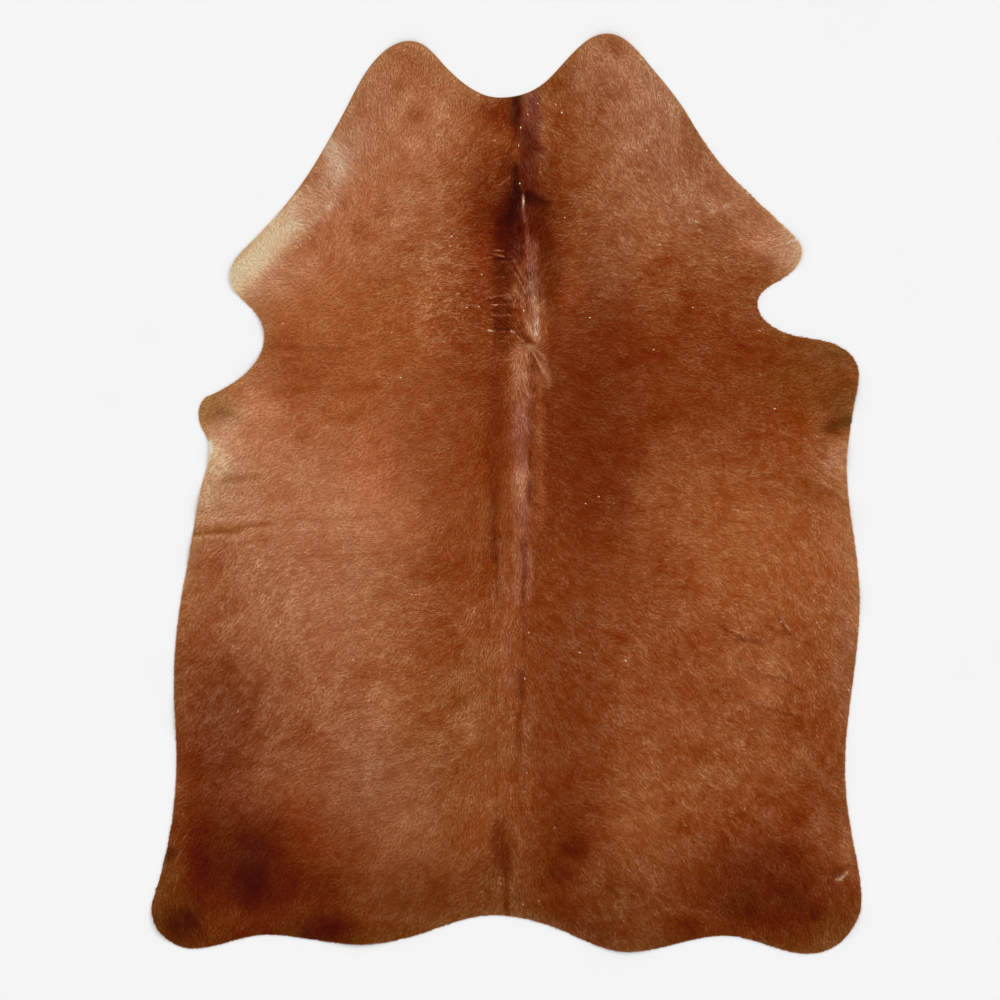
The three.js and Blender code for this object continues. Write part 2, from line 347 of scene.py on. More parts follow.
# Soft patches laid over each other in turn on the first tone, with half sizes across and along, and the
# long axis turned from +Y
PATCHES = (
    # at, px, py, wide, long, turn, tone, share
    ("left half", 345, 400, 150, 330, -3, "rosy", 0.85),
    ("left flank, dusty", 285, 640, 100, 150, 0, "dusty", 0.3),
    ("left belly, dusty", 345, 770, 55, 70, 0, "dusty", 0.4),
    ("left chest", 375, 350, 130, 85, 0, "sienna", 0.9),
    ("left armpit", 300, 365, 50, 35, 0, "auburn", 0.5),
    ("left ribs, front", 420, 430, 45, 60, 0, "auburn", 0.45),
    ("left neck", 395, 110, 70, 110, -20, "rosy", 0.75),
    ("left neck, middle", 400, 130, 40, 45, 0, "tan", 0.35),
    ("right neck", 645, 130, 80, 105, 25, "rosy", 0.5),
    ("right neck, tip", 640, 75, 50, 55, 20, "tan", 0.6),
    ("right neck, root", 650, 205, 60, 40, 0, "rosy", 0.25),
    ("right shoulders", 640, 240, 90, 80, 0, "sienna", 0.3),
    ("right neck, dusty", 690, 150, 60, 120, 30, "dusty", 0.4),
    ("right neck, inner", 578, 160, 42, 90, 0, "auburn", 0.6),
    ("right chest", 690, 375, 190, 85, 0, "chestnut", 0.9),
    ("right of the back, front", 592, 450, 50, 160, 0, "dark_chestnut", 0.9),
    ("right side", 745, 560, 100, 100, 0, "sienna", 0.85),
    ("right side, middle", 625, 590, 60, 70, 0, "auburn", 0.7),
    ("right rear, inner", 610, 690, 70, 90, 0, "auburn", 0.75),
    ("right rear, outer", 720, 690, 90, 80, 0, "auburn", 0.35),
    ("left of the back, front", 484, 340, 41, 190, 0, "chestnut", 0.85),
    ("left of the back, middle", 462, 540, 60, 170, 0, "auburn", 0.95),
    ("left of the back, rear", 470, 770, 60, 120, 0, "ochre", 0.7),
    ("right of the back, rear", 560, 690, 50, 190, 0, "chestnut", 0.75),
    ("right of the back, last", 580, 800, 40, 70, 0, "chestnut", 0.6),
    ("left haunch", 225, 790, 130, 130, 0, "auburn", 0.9),
    ("left rear edge", 195, 775, 50, 130, 0, "dark_chestnut", 0.75),
    ("left belly", 200, 690, 50, 50, 0, "dusk", 0.4),
    ("left haunch, lower", 260, 840, 110, 40, 0, "dark_chestnut", 0.6),
    ("hind edge, left", 260, 925, 230, 60, 0, "dark_chestnut", 0.9),
    # Painted shadow along the hind rim
    ("hind edge, left, rim", 270, 945, 90, 16, 0, "mahogany", 0.6),
    ("hind edge, left, dark", 322, 930, 45, 22, 0, "sooty", 0.85),
    ("left thigh, dark", 254, 870, 44, 50, 0, "wine", 0.85),
    ("left thigh, darkest", 248, 876, 20, 30, 0, "near_black", 0.25),
    ("left thigh, front", 213, 852, 34, 40, 0, "mahogany", 0.55),
    ("left thigh, inner", 318, 893, 38, 36, -20, "mahogany", 0.75),
    ("hind corner, left", 170, 912, 32, 45, 0, "moss", 0.85),
    ("hind corner, left, dark", 184, 922, 22, 20, 0, "sooty", 0.75),
    ("hind corner, left, edge spot", 168, 856, 9, 7, 0, "sooty", 0.5),
    ("hind corner, left, inner", 221, 924, 16, 18, 0, "moss", 0.6),
    ("hind edge, left lobe", 385, 935, 85, 50, 0, "dusk", 0.85),
    ("hind edge, middle", 500, 905, 110, 60, 0, "dusk", 0.8),
    ("hind edge, right", 630, 925, 130, 60, 0, "dusk", 0.85),
    ("hind edge, right lobe, dark", 700, 950, 60, 18, 0, "mahogany", 0.6),
    ("hind edge, right, inner", 585, 940, 40, 25, 0, "mahogany", 0.5),
    ("right haunch", 780, 885, 105, 72, 0, "dark_chestnut", 0.95),
    ("hind corner, right", 800, 948, 60, 16, 0, "moss", 0.5),
    ("right haunch, dark", 770, 892, 70, 38, 0, "mahogany", 0.8),
    ("right haunch, blot 1", 742, 906, 24, 14, 0, "sooty", 0.5),
    ("right haunch, blot 2", 790, 902, 16, 10, 0, "sooty", 0.5),
    ("right haunch, blot 3", 815, 915, 11, 8, 0, "sooty", 0.4),
    ("right haunch, front", 790, 850, 16, 12, 0, "mahogany", 0.4),
    ("right haunch, outer", 832, 845, 16, 16, 0, "ochre", 0.3),
    ("right haunch, lit edge", 850, 858, 9, 16, 0, "tan", 0.35),
    ("right of the tail, dark", 566, 848, 38, 60, 0, "dark_chestnut", 0.6),
    ("right of the tail, spot 1", 574, 850, 14, 10, 0, "mahogany", 0.7),
    ("right of the tail, spot 2", 556, 874, 17, 9, 0, "mahogany", 0.6),
    ("right of the tail, front", 540, 820, 20, 20, 0, "chestnut", 0.45),
    ("left of the tail, dark", 506, 850, 12, 25, 0, "mahogany", 0.4),
    ("left of the tail", 468, 800, 40, 60, 0, "auburn", 0.5),
    ("right flank edge", 850, 770, 50, 100, 0, "auburn", 0.8),
    ("right flank, rear", 790, 800, 60, 40, 0, "chestnut", 0.4),
    ("left shoulder lobe", 258, 285, 36, 22, 20, "sand", 0.45),
    # Painted sheen on the left shoulder slope and neck side
    ("left shoulder slope", 322, 190, 20, 58, -38, "mist", 0.35),
    ("left neck side, pale", 344, 155, 16, 34, -25, "mist", 0.45),
    ("left shoulder, behind the whorl", 304, 264, 18, 14, 0, "tan", 0.4),
    ("right shoulder, mauve", 768, 238, 34, 24, 0, "tan", 0.65),
    ("right shoulder tip", 802, 246, 30, 30, 0, "sand", 1),
    ("right shoulder slope", 750, 200, 22, 60, 45, "tan", 0.6),
    ("right armpit", 745, 290, 20, 30, 0, "auburn", 0.4),
    ("right shoulder, below the waves", 742, 250, 14, 12, 0, "sienna", 0.5),
    ("right flank, dusky", 804, 734, 15, 20, 0, "chestnut", 0.4),
    ("right flank, grey edge", 846, 655, 12, 60, 0, "dusty", 0.35),
    ("left leg, sheen", 216, 462, 22, 16, -45, "cream", 0.7),
    ("left leg, second sheen", 210, 496, 18, 15, 0, "sand", 0.6),
    ("left flank, behind the leg", 280, 500, 40, 60, 0, "tan", 0.4),
    ("left flank, front", 222, 480, 36, 80, 0, "sand", 0.45),
    ("left flank edge", 198, 570, 18, 30, 0, "sand", 0.3),
    ("left flank, dark by the edge", 215, 562, 22, 24, 0, "chestnut", 0.5),
    ("left leg lobe", 214, 409, 22, 18, 0, "olive", 0.85),
    ("left leg lobe, dark", 225, 417, 13, 8, -20, "umber_olive", 0.6),
    ("left leg lobe, behind", 224, 433, 16, 12, 0, "sand", 0.6),
    ("left armpit, edge", 262, 385, 20, 15, 0, "tan", 0.4),
    ("right leg, sheen", 842, 462, 18, 26, 0, "tan", 0.8),
    ("right leg lobe", 815, 385, 60, 45, 0, "umber", 0.6),
    ("right leg lobe, olive", 830, 355, 28, 16, 0, "umber_olive", 0.5),
    ("right leg lobe, rear", 840, 405, 16, 26, 0, "moss", 0.5),
    ("hind corner, right, olive", 836, 925, 30, 26, 0, "moss", 0.6),
    ("right flank, middle edge", 855, 560, 30, 80, 0, "rosy", 0.5),
    ("neck line", 520, 150, 20, 70, 0, "chestnut", 0.4),
    ("neck edge, dark", 497, 110, 19, 18, 0, "dark_chestnut", 0.65),
    ("right neck, ochre edge", 693, 140, 12, 30, 0, "ochre", 0.35),
    ("withers, left", 484, 205, 20, 50, 0, "dark_chestnut", 0.6),
    ("withers, left front", 482, 148, 12, 20, 0, "auburn", 0.5),
    ("withers, shadow", 518, 211, 34, 46, 0, "wine", 0.75),
    ("withers, right", 556, 215, 20, 45, 0, "dark_chestnut", 0.4),
    ("beside the ridge, right", 549, 278, 14, 42, 0, "mahogany", 0.7),
    ("left of the back line", 497, 415, 12, 70, 0, "dark_chestnut", 0.5),
    ("left of the neck line", 492, 200, 14, 80, 0, "chestnut", 0.4),
    ("back line, right shadow", 545, 420, 14, 140, 0, "dark_chestnut", 0.6),
)

# Lines and spots of the coat, crisper than the patches and laid over them
STROKES = (
    # at, px, py, to_px, to_py, reach, tone, share
    ("left shoulder, cream", 243, 272, 279, 232, 18, "cream", 0.92),
    ("left shoulder, front", 281, 222, 296, 196, 5, "sand", 0.55),
    # The pale mist and arc on the left neck side are painted sheen
    ("left neck side, pale mist", 330, 147, 338, 164, 8, "mist", 0.8),
    ("left neck side, arc", 341, 172, 331, 204, 4, "mist", 0.4),
    ("left neck side, arc's end", 330, 206, 306, 228, 4, "mist", 0.3),
    ("left elbow, pale spot", 296, 215, 297, 217, 2.5, "pale_arc", 0.7),
    ("left elbow, second spot", 303, 226, 304, 227, 2, "pale_arc", 0.4),
    ("left elbow, nub", 298, 240, 299, 243, 3, "mist", 0.45),
    ("left elbow, nub's shadow", 302, 249, 297, 253, 1.6, "chestnut", 0.5),
    ("parting, left smudge", 504, 101, 509, 117, 7, "dark_chestnut", 0.6),
    ("parting, right, plum", 531, 97, 531, 130, 11, "plum", 0.85),
    ("parting", 515.5, 94, 516, 117, 5.5, "near_black", 0.75),
    ("parting, rear", 516, 121, 516, 134, 3.5, "wine", 0.55),
    ("parting, dark hook", 520, 131, 539, 150, 5.5, "mauve", 0.8),
    ("mauve band", 529, 140, 526, 190, 9, "mauve", 0.85),
    ("mauve band, purple core", 529, 163, 528, 187, 3.5, "purple", 0.5),
    ("light strip", 514, 135, 512, 160, 2.4, "chestnut", 0.5),
    ("red strip", 506, 162, 506, 192, 6.5, "mahogany", 0.6),
    ("dark strip", 515.5, 171, 515.5, 193, 4, "near_black", 0.7),
    ("meeting place, left zone", 507, 214, 504, 262, 12, "wine", 0.75),
    ("meeting place, right zone", 539, 212, 545, 242, 8, "mahogany", 0.75),
    ("meeting place, right zone, rear", 546, 242, 548, 268, 6, "mahogany", 0.4),
    ("ridge body, front", 526, 210, 529, 248, 6, "mauve", 0.6),
    ("ridge body, middle", 530, 252, 531.5, 285, 7.5, "dusty_rose", 0.55),
    ("ridge, left flank", 517, 212, 520, 250, 4.5, "grape", 0.75),
    ("meeting place, right shadow", 531, 199, 537, 201, 6, "near_black", 0.9),
    ("meeting place, right, red", 540, 206, 548, 214, 6, "mahogany", 0.55),
    ("meeting place, left shadow", 514.5, 201, 513, 214, 6, "near_black", 0.9),
    ("meeting place, upper shadow", 518, 196, 528, 195, 3, "near_black", 0.6),
    ("pale star", 524, 199, 524, 206, 1.2, "white_hair", 0.9),
    ("pale star's tail", 523.5, 190, 524, 198, 0.9, "rose", 0.6),
    ("ridge strand, front", 525, 212, 528.5, 240, 1.5, "strand", 0.65),
    ("ridge strand, middle", 528.5, 240, 532, 285, 2.4, "strand", 0.8),
    ("ridge body, rear", 532, 278, 533, 304, 7, "plum_rose", 0.75),
    ("ridge, pink core", 532, 284, 533, 300, 3, "strand", 0.6),
    ("ridge, right edge", 540, 288, 540.5, 305, 1.6, "mahogany", 0.6),
    ("ridge, gold", 534.5, 309, 536.5, 337, 5.5, "whorl_pale", 0.7),
    ("ridge, gold core", 537, 318, 537.5, 334, 2.4, "pale_arc", 0.5),
    ("ridge feather 1", 513, 258, 524, 280, 1.1, "rose", 0.6),
    ("ridge feather 2", 511, 267, 523, 290, 1.1, "rose", 0.6),
    ("ridge feather 3", 511, 277, 524, 299, 1.2, "rose", 0.65),
    ("ridge feather 4", 514, 288, 526, 306, 1.2, "whorl_pale", 0.55),
    ("ridge feather shadow 1", 513, 263, 524, 286, 1, "mahogany", 0.55),
    ("ridge feather shadow 2", 512, 272, 524, 295, 1, "mahogany", 0.55),
    ("ridge feather shadow 3", 515, 283, 527, 303, 1, "mahogany", 0.55),
    ("ridge feather, right 1", 548, 262, 540, 286, 1.1, "auburn", 0.55),
    ("ridge feather, right 2", 550, 276, 541, 298, 1.1, "auburn", 0.55),
    ("ridge, left tuft 1", 518, 293, 527, 304, 1.6, "rose", 0.55),
    ("ridge, left tuft 2", 521, 306, 528, 315, 1.5, "whorl_pale", 0.6),
    ("ridge, left tuft 3", 525, 317, 532, 335, 2, "whorl_pale", 0.55),
    ("ridge, right flank", 543, 306, 546, 340, 3.5, "sienna", 0.6),
    ("left of the ridge, dark band", 503, 278, 503, 318, 10, "mahogany", 0.75),
    ("left of the ridge, dark band, rear", 503, 318, 504, 345, 7, "mahogany", 0.4),
    ("left of the ridge, dark line", 495, 300, 495, 348, 1.6, "wine", 0.5),
    ("hair shadow 1", 495, 259.5, 512, 259.5, 1.2, "near_black", 0.7),
    ("hair shadow 2", 490, 252.8, 505, 252.8, 0.9, "near_black", 0.5),
    ("hair shadow 3", 488, 300.5, 515, 297.5, 0.9, "wine", 0.5),
    ("hair shadow 4", 490, 311, 514, 311, 1, "wine", 0.5),
    ("hair shadow 5", 494, 329, 520, 329, 1, "near_black", 0.5),
    ("hair shadow 6", 497, 224, 508, 222, 1, "near_black", 0.5),
    ("hair shadow 7", 496, 232, 510, 233, 1, "near_black", 0.5),
    ("hair line 1", 496, 251, 502, 251, 1, "rose", 0.9),
    ("hair line 2", 495, 254.5, 502, 256.5, 1, "whorl_pale", 0.8),
    ("hair line 3", 503, 262, 514, 262, 0.9, "rose", 0.6),
    ("hair line 4", 488, 298.5, 514, 294.5, 1.1, "rose", 0.9),
    ("hair line 4, bright end", 509, 298.5, 511, 298.5, 0.9, "pale_arc", 0.5),
    ("hair line 5", 493, 305.5, 515, 305.5, 1, "rose", 0.75),
    ("hair line 5, bright end", 493, 305.5, 496, 305.5, 0.9, "pale_arc", 0.7),
    ("hair line 6", 491, 316, 514, 316, 1, "rose", 0.7),
    ("hair line 7", 462, 332, 522, 332, 0.9, "rose", 0.35),
    ("hair line 8", 512, 332, 518, 332, 0.7, "pink_hair", 0.9),
    ("hair line 9", 468, 342, 514, 342, 0.9, "rose", 0.15),
    ("white fleck on the line", 489, 331.5, 492, 331.5, 0.8, "white_hair", 0.95),
    ("pale hair 1", 507, 157, 497, 159.5, 1, "rose", 0.6),
    ("pale hair 2", 497, 159.5, 486, 163, 1, "rose", 0.5),
    ("pale hair 3", 509, 178, 501, 184, 1, "rose", 0.6),
    ("pale hair 4", 501, 184, 493, 187, 1, "rose", 0.5),
    ("pale hair 5", 539, 155, 545, 160, 1, "rose", 0.6),
    ("whorl, dark wedge", 519, 333, 530, 342, 3, "mahogany", 0.7),
    ("whorl, left fan", 527, 350, 518, 357, 2.2, "rose", 0.5),
    ("whorl, pale arc", 519, 350, 530, 345.5, 1.2, "whorl_pale", 0.6),
    ("whorl, dark arc", 521, 347, 530, 343.5, 1, "mahogany", 0.6),
    ("whorl, right fan, front", 536, 351, 545, 357, 2.6, "whorl_pale", 0.3),
    ("whorl, dark line 1", 530, 353, 540, 374, 1.2, "mahogany", 0.5),
    ("whorl, fan strand", 534, 353, 543, 371, 1, "whorl_pale", 0.35),
    ("whorl, dark line 2", 535, 353, 546, 366, 1, "mahogany", 0.5),
    ("whorl centre", 530, 348, 534, 348, 1.4, "pale_arc", 0.5),
    ("whorl, golden blob", 543, 368, 546, 378, 5.5, "whorl_pale", 0.5),
    ("whorl, fan strand 2", 538, 362, 549, 380, 1.1, "whorl_pale", 0.5),
    ("whorl, dark line 3", 535, 360, 544, 381, 1, "mahogany", 0.5),
    ("behind the whorl", 521, 354, 520, 376, 8, "whorl_pale", 0.45),
    ("back line, tan, front", 520.5, 364, 520.5, 392, 8, "tan", 0.45),
    ("back line, rose, front", 521, 392, 521, 422, 8, "rose", 0.8),
    ("back line, pink-tan", 521, 422, 521, 480, 8.5, "dusty_rose", 0.95),
    ("back line, bright", 521, 480, 521, 506, 8, "tan", 0.7),
    ("back line, rear of the bright part", 521, 506, 521, 516, 8, "rose", 0.7),
    ("back line, right dark, front", 531.5, 372, 531.5, 440, 2.2, "plum", 0.6),
    ("back line, right dark, middle", 530.5, 452, 530.5, 468, 1.8, "mahogany", 0.5),
    ("back line, right dark, rear", 530, 484, 529, 500, 2.6, "mauve", 0.65),
    ("back line, right fan", 539, 384, 540, 520, 5, "sienna", 0.6),
    ("back line, mauve", 523, 514, 524, 560, 8, "dusty_rose", 0.6),
    ("back line, light", 517.5, 534, 517.5, 600, 4, "rose", 0.75),
    ("back line, purple, front", 524, 546, 524, 576, 3.2, "purple", 0.5),
    ("back line, purple, middle", 524, 576, 524, 602, 2.2, "purple", 0.55),
    ("back line, purple, rear", 524, 602, 524, 656, 1.4, "purple", 0.5),
    ("back line, right strand", 530.5, 552, 530.5, 600, 2.6, "rose", 0.5),
    ("back line, dark spot", 522, 676, 522, 693, 4, "mauve", 0.6),
    ("back line, thin", 521.5, 695, 520, 717, 1.8, "mahogany", 0.4),
    ("back line, croup", 519.5, 718, 518.5, 752, 3.5, "dark_chestnut", 0.6),
    ("back line, tail head", 512, 752, 512, 800, 6.5, "auburn", 0.5),
    ("left line, front", 494, 478, 494, 535, 6.5, "mahogany", 0.28),
    ("left line, middle", 494.5, 500, 494.5, 515, 4, "mahogany", 0.25),
    ("left line, rear of the middle", 495, 535, 495, 556, 4, "wine", 0.35),
    ("left line, thin", 497, 558, 497, 600, 1.6, "mahogany", 0.5),
    ("left line, rear", 495, 690, 495, 760, 2, "chestnut", 0.5),
    ("left line, last", 497, 780, 497, 810, 2.5, "chestnut", 0.45),
    ("between the lines", 507, 560, 508, 690, 8, "rose", 0.3),
    ("dark by the white fleck", 527, 630, 539, 633, 5, "chestnut", 0.5),
    ("tail, dark spot, front", 500, 834, 502, 850, 10, "mahogany", 0.6),
    ("tail, dark spot, rear", 506, 855, 508, 868, 5.5, "mahogany", 0.6),
    ("tail, dark line", 508, 870, 508, 892, 1.4, "mahogany", 0.5),
    ("tail, dark line, rear", 506, 893, 506, 914, 3, "mahogany", 0.4),
    ("tail, pale line", 500, 878, 498, 900, 1, "tan", 0.35),
    # Creases and wrinkle lines of the left flank: painted shade along them, with painted light on their lit
    # lips
    ("left flank crease", 192, 534, 238, 530, 4.2, "umber", 0.75),
    ("left flank crease, end", 240, 528, 270, 524, 2.6, "auburn", 0.7),
    ("left flank crease, lit side", 200, 522, 262, 515, 3, "sand", 0.3),
    ("left flank, below the crease", 195, 538.5, 224, 537, 1.4, "sand", 0.5),
    ("left flank, second line", 226, 545, 264, 541, 2, "auburn", 0.3),
    ("left flank, second crease", 228, 480, 256, 477, 5, "umber", 0.4),
    ("left side, line 1", 300, 520, 392, 516, 1.6, "auburn", 0.35),
    ("left side, line 2", 298, 557, 392, 553, 1.6, "auburn", 0.35),
    # Painted shade along the folds of the left armpit
    ("left armpit, front streak", 262, 347, 345, 350, 3, "mahogany", 0.15),
    ("left armpit, rear streak", 262, 390, 375, 388, 4, "chestnut", 0.25),
    # Painted shade in the wrinkles and creases of the right flank
    ("right wrinkle 1", 694, 507, 767, 511, 1.3, "mahogany", 0.12),
    ("right wrinkle 2", 700, 518, 762, 526, 1.3, "mahogany", 0.12),
    ("right flank, crease 1", 720, 627, 742, 640, 2, "dark_chestnut", 0.5),
    ("right flank, crease 2", 742, 640, 760, 643, 2.2, "mahogany", 0.5),
    ("right flank, crease 3", 770, 628, 815, 648, 2, "dark_chestnut", 0.4),
    ("right flank, crease 4", 752, 676, 782, 678, 1.8, "dark_chestnut", 0.5),
    ("right flank, crease 5", 782, 678, 803, 691, 1.8, "dark_chestnut", 0.4),
    ("right flank, crease 6", 752, 704, 800, 718, 2, "dark_chestnut", 0.45),
    ("right flank, scratch", 779, 619, 788, 632, 1.5, "mahogany", 0.6),
    ("right flank, scratch's pale side", 781, 617, 790, 630, 0.7, "pale_arc", 0.45),
    ("left edge, bare spot", 211, 444, 212, 451, 1.8, "bare", 0.95),
    # Painted sheen along the crease of the right shoulder
    ("right shoulder, crease", 746, 195, 728, 206, 2.2, "pale_arc", 0.3),
    ("right shoulder, crease, rear", 728, 206, 712, 213, 2.2, "pale_arc", 0.35),
    ("right shoulder, pale flecks", 693, 222, 697, 223, 1.4, "pale_arc", 0.5),
    ("right shoulder tip, streak", 789, 243, 799, 239, 1.6, "bare", 0.5),
    ("behind the right leg", 832, 426, 850, 421, 7, "umber_green", 0.5),
    # Painted sheen: pale streaks of the coat's shine on the right leg
    ("right leg, strand 1", 806, 464, 818, 473, 1, "whorl_pale", 0.5),
    ("right leg, strand 2", 816, 458, 832, 470, 1, "whorl_pale", 0.5),
    ("right leg, strand 3", 824, 470, 846, 486, 1.2, "whorl_pale", 0.5),
    ("right leg, strand 4", 818, 478, 846, 498, 1.2, "whorl_pale", 0.4),
    ("right leg, strand 5", 830, 462, 848, 474, 1.2, "sand", 0.5),
    ("right leg, strand 6", 806, 474, 826, 486, 1, "whorl_pale", 0.4),
    ("right leg, strand shadow 1", 812, 466, 832, 480, 1, "chestnut", 0.4),
    ("right leg, strand shadow 2", 820, 484, 842, 500, 1.2, "chestnut", 0.4),
    # Painted shade along the fold at the left hind corner
    ("hind corner, fold line", 187, 898, 212, 941, 1.6, "dusk", 0.5),
    ("hind corner, hair 1", 173, 847, 180, 829, 0.8, "olive", 0.4),
    ("hind corner, hair 2", 182, 842, 191, 828, 0.8, "olive", 0.4),
    ("hind corner, hair 3", 174, 864, 182, 850, 0.8, "olive", 0.4),
    ("hind corner, hair 4", 169, 883, 174, 870, 0.8, "olive", 0.4),
    ("hind corner, hair 5", 174, 892, 178, 876, 1, "olive", 0.5),
    ("scar's shadow", 836, 874, 845, 868, 3.5, "mahogany", 0.6),
    ("scar", 841, 878.5, 847, 873.5, 0.9, "cream", 0.95),
    ("scar's hook", 836, 879, 842, 879.5, 0.7, "cream", 0.7),
)

# How sharply patches, lines and casts end
SOFTNESS = 1.5

# Soft clouds of the coat, area by area, lighter or darker by so many sRGB steps
MOTTLES = {
    # px, py, wide, long, turn, by
    "left neck": (
        (352, 140, 10, 13, 0, -10), (380, 205, 8, 14, 0, -8), (415, 146, 10, 9, 0, 10),
        (322, 172, 6, 10, 0, -8), (411, 70, 10, 14, 0, -14), (405, 55, 9, 7, 0, -14),
        (399, 87, 7, 6, 0, -18), (416, 118, 8, 6, 0, -14), (381, 214, 8, 8, 0, -14),
        (358, 226, 7, 7, 0, -14), (419, 145, 7, 6, 0, 12), (395, 225, 6, 3, 0, 20),
        (415, 115, 12, 8, 0, -12), (425, 166, 8, 8, 0, -8), (425, 183, 12, 6, 0, -8),
    ),
    "left shoulder": (
        (362, 232, 12, 15, 0, -14), (415, 250, 12, 6, 0, -14), (388, 286, 8, 8, 0, -8),
        (320, 327, 8, 7, 0, 9), (415, 333, 10, 8, 0, 9),
    ),
    "left chest": (
        (350, 418, 20, 10, 0, -14), (303, 437, 9, 12, 0, -12), (350, 447, 9, 9, 0, -10),
        (370, 389, 12, 6, 0, -10), (270, 410, 14, 14, 0, 9),
    ),
    "left ribs": (
        (228, 473, 10, 7, 0, -14), (218, 506, 10, 7, 0, -10), (315, 535, 10, 6, 0, -10),
    ),
    "left side": (
        (237, 697, 6, 6, 0, -16), (290, 672, 9, 6, 0, -14), (372, 675, 11, 8, 0, -14),
        (252, 655, 9, 7, 30, 12), (222, 595, 7, 7, 0, -16), (282, 617, 9, 6, 0, -16),
        (265, 595, 9, 6, 0, -12), (327, 587, 6, 5, 0, -12), (197, 590, 10, 9, 0, -8),
        (224, 609, 15, 11, 0, -12), (245, 655, 10, 7, 0, -12), (230, 668, 12, 8, -20, -10),
        (385, 595, 12, 20, 0, -7), (425, 595, 12, 10, 0, 8),
    ),
    "left flank": (
        (305, 732, 20, 14, 20, -14), (262, 735, 10, 8, 0, -12), (235, 752, 9, 9, 0, -12),
        (252, 767, 9, 6, 0, -14), (380, 722, 15, 10, 0, 12), (322, 727, 9, 9, 0, 10),
        (267, 777, 15, 6, 0, 14), (253, 710, 7, 20, -25, -10), (195, 760, 12, 18, 0, -14),
        (232, 768, 14, 10, 0, -14), (212, 730, 5, 12, -20, -8), (352, 708, 10, 6, 0, -10),
        (357, 785, 8, 8, 0, -10), (188, 700, 8, 50, 0, 8), (384, 703, 10, 10, 0, 8),
        (425, 755, 8, 20, -65, -8),
    ),
    "left rump": (
        (325, 838, 20, 6, 0, -4), (200, 868, 16, 38, 0, -20), (170, 855, 6, 10, 0, -20),
        (410, 825, 16, 16, 0, 7),
    ),
    "left hind edge": (
        (290, 890, 16, 24, 0, -12), (330, 926, 20, 12, 0, -24), (218, 912, 8, 8, 0, -10),
        (437, 893, 10, 14, 0, -9),
    ),
    "middle neck": (
        (440, 110, 6, 9, 0, 10), (440, 112, 12, 10, 0, 8), (460, 135, 16, 8, 0, 8),
        (558, 87, 14, 12, 0, -12), (560, 122, 16, 28, 0, -9), (560, 156, 14, 9, 0, -10),
        (521, 115, 3, 8, 0, -20), (543, 150, 5, 42, 0, 8), (503, 188, 6, 10, 0, 9),
        (589, 55, 5, 13, 0, 14), (585, 78, 7, 8, 0, 12), (570, 75, 7, 13, 0, -12),
        (568, 190, 14, 26, 0, -8),
    ),
    "middle chest": (
        (455, 440, 8, 6, 0, -8), (520, 398, 6, 4, 0, -8),
    ),
    "middle ribs": (
        (482, 455, 16, 35, 0, -12), (520, 519, 8, 5, 0, -8),
    ),
    "middle side": (
        (533, 632, 9, 10, 0, -12), (474, 611, 8, 8, 0, 16), (487, 575, 8, 25, 0, -8),
    ),
    "middle flank": (
        (514, 765, 5, 40, 0, -9), (470, 738, 8, 7, 0, 18), (458, 700, 9, 8, 0, -10),
        (530, 720, 10, 12, 0, 9), (466, 772, 10, 8, 0, -8),
    ),
    "middle rump": (
        (507, 884, 4, 14, 0, -12), (515, 812, 8, 8, 0, -8), (562, 875, 18, 14, 0, -10),
        (580, 845, 14, 12, 0, -10),
    ),
    "middle hind edge": (
        (506, 905, 4, 10, 0, -14), (560, 910, 20, 10, 0, -12),
    ),
    "right neck": (
        (615, 48, 9, 12, 0, -12), (608, 93, 14, 8, 0, -14), (650, 97, 14, 10, 0, 7),
        (640, 118, 8, 5, 0, -9), (625, 150, 22, 11, 0, 9), (605, 166, 14, 9, 0, 7),
        (710, 182, 9, 11, -20, -16), (718, 208, 10, 9, 0, 14),
    ),
    "right shoulder": (
        (700, 235, 10, 13, 0, -12), (625, 241, 6, 8, 0, 10), (665, 262, 12, 8, 0, -8),
        (690, 290, 12, 13, 0, -14), (625, 305, 16, 12, 0, -8), (680, 316, 12, 9, 0, -8),
        (756, 246, 10, 10, 0, 16), (770, 265, 8, 6, 0, -8),
    ),
    "right chest": (
        (815, 432, 12, 18, 0, 12), (838, 434, 6, 5, 0, -10), (655, 425, 10, 16, 0, -9),
        (795, 345, 16, 6, 0, -12), (670, 356, 8, 16, 60, -8),
    ),
    "right ribs": (
        # The first of these clouds is painted shade of the lying hair
        (785, 478, 6, 18, 80, -8), (833, 467, 8, 7, 0, -10), (640, 465, 16, 14, 0, -8),
        (612, 540, 18, 12, 0, -8),
    ),
    "right side": (
        (772, 665, 9, 12, 0, 12), (765, 692, 14, 12, 0, 13), (846, 585, 12, 6, 0, -10),
        (680, 590, 12, 10, 0, -7), (626, 661, 5, 5, 0, 12),
    ),
    "right flank": (
        (722, 738, 12, 8, 0, 10), (675, 710, 20, 14, 0, 7), (800, 725, 22, 10, 0, -8),
        (705, 758, 12, 8, 0, -10),
    ),
    "right rump": (
        (600, 870, 7, 16, 0, 10), (685, 827, 11, 8, 0, -18), (655, 848, 14, 10, 0, -8),
        (615, 880, 12, 16, 0, -10), (728, 843, 8, 7, 0, -12), (738, 820, 18, 8, 0, -10),
        (798, 815, 12, 10, 0, -12), (768, 798, 14, 7, 0, -10), (715, 795, 16, 8, 0, -8),
        (846, 850, 10, 20, 0, 10),
    ),
    "right hind edge": (
        (818, 915, 12, 9, 0, -12), (745, 912, 10, 8, 0, -10), (690, 925, 14, 8, 0, -12),
    ),
}

# Share of a cloud or a wave on red, green and blue
MOTTLE_SHARE = (0.9, 1.0, 1.0)

# What one step of a broad soft cast adds to the coat's colour, in sRGB steps
CAST_KINDS = {
    "paler": (1.0, 1.0, 1.0),
    "deeper": (-1.0, -1.0, -1.0),
    "dustier": (0.3, 0.9, 1.2),
    "cooler": (-0.7, 0.5, 1.2),
    "redder": (0.0, -0.9, -0.9),
    "duller": (-1.0, -0.5, -0.3),
}

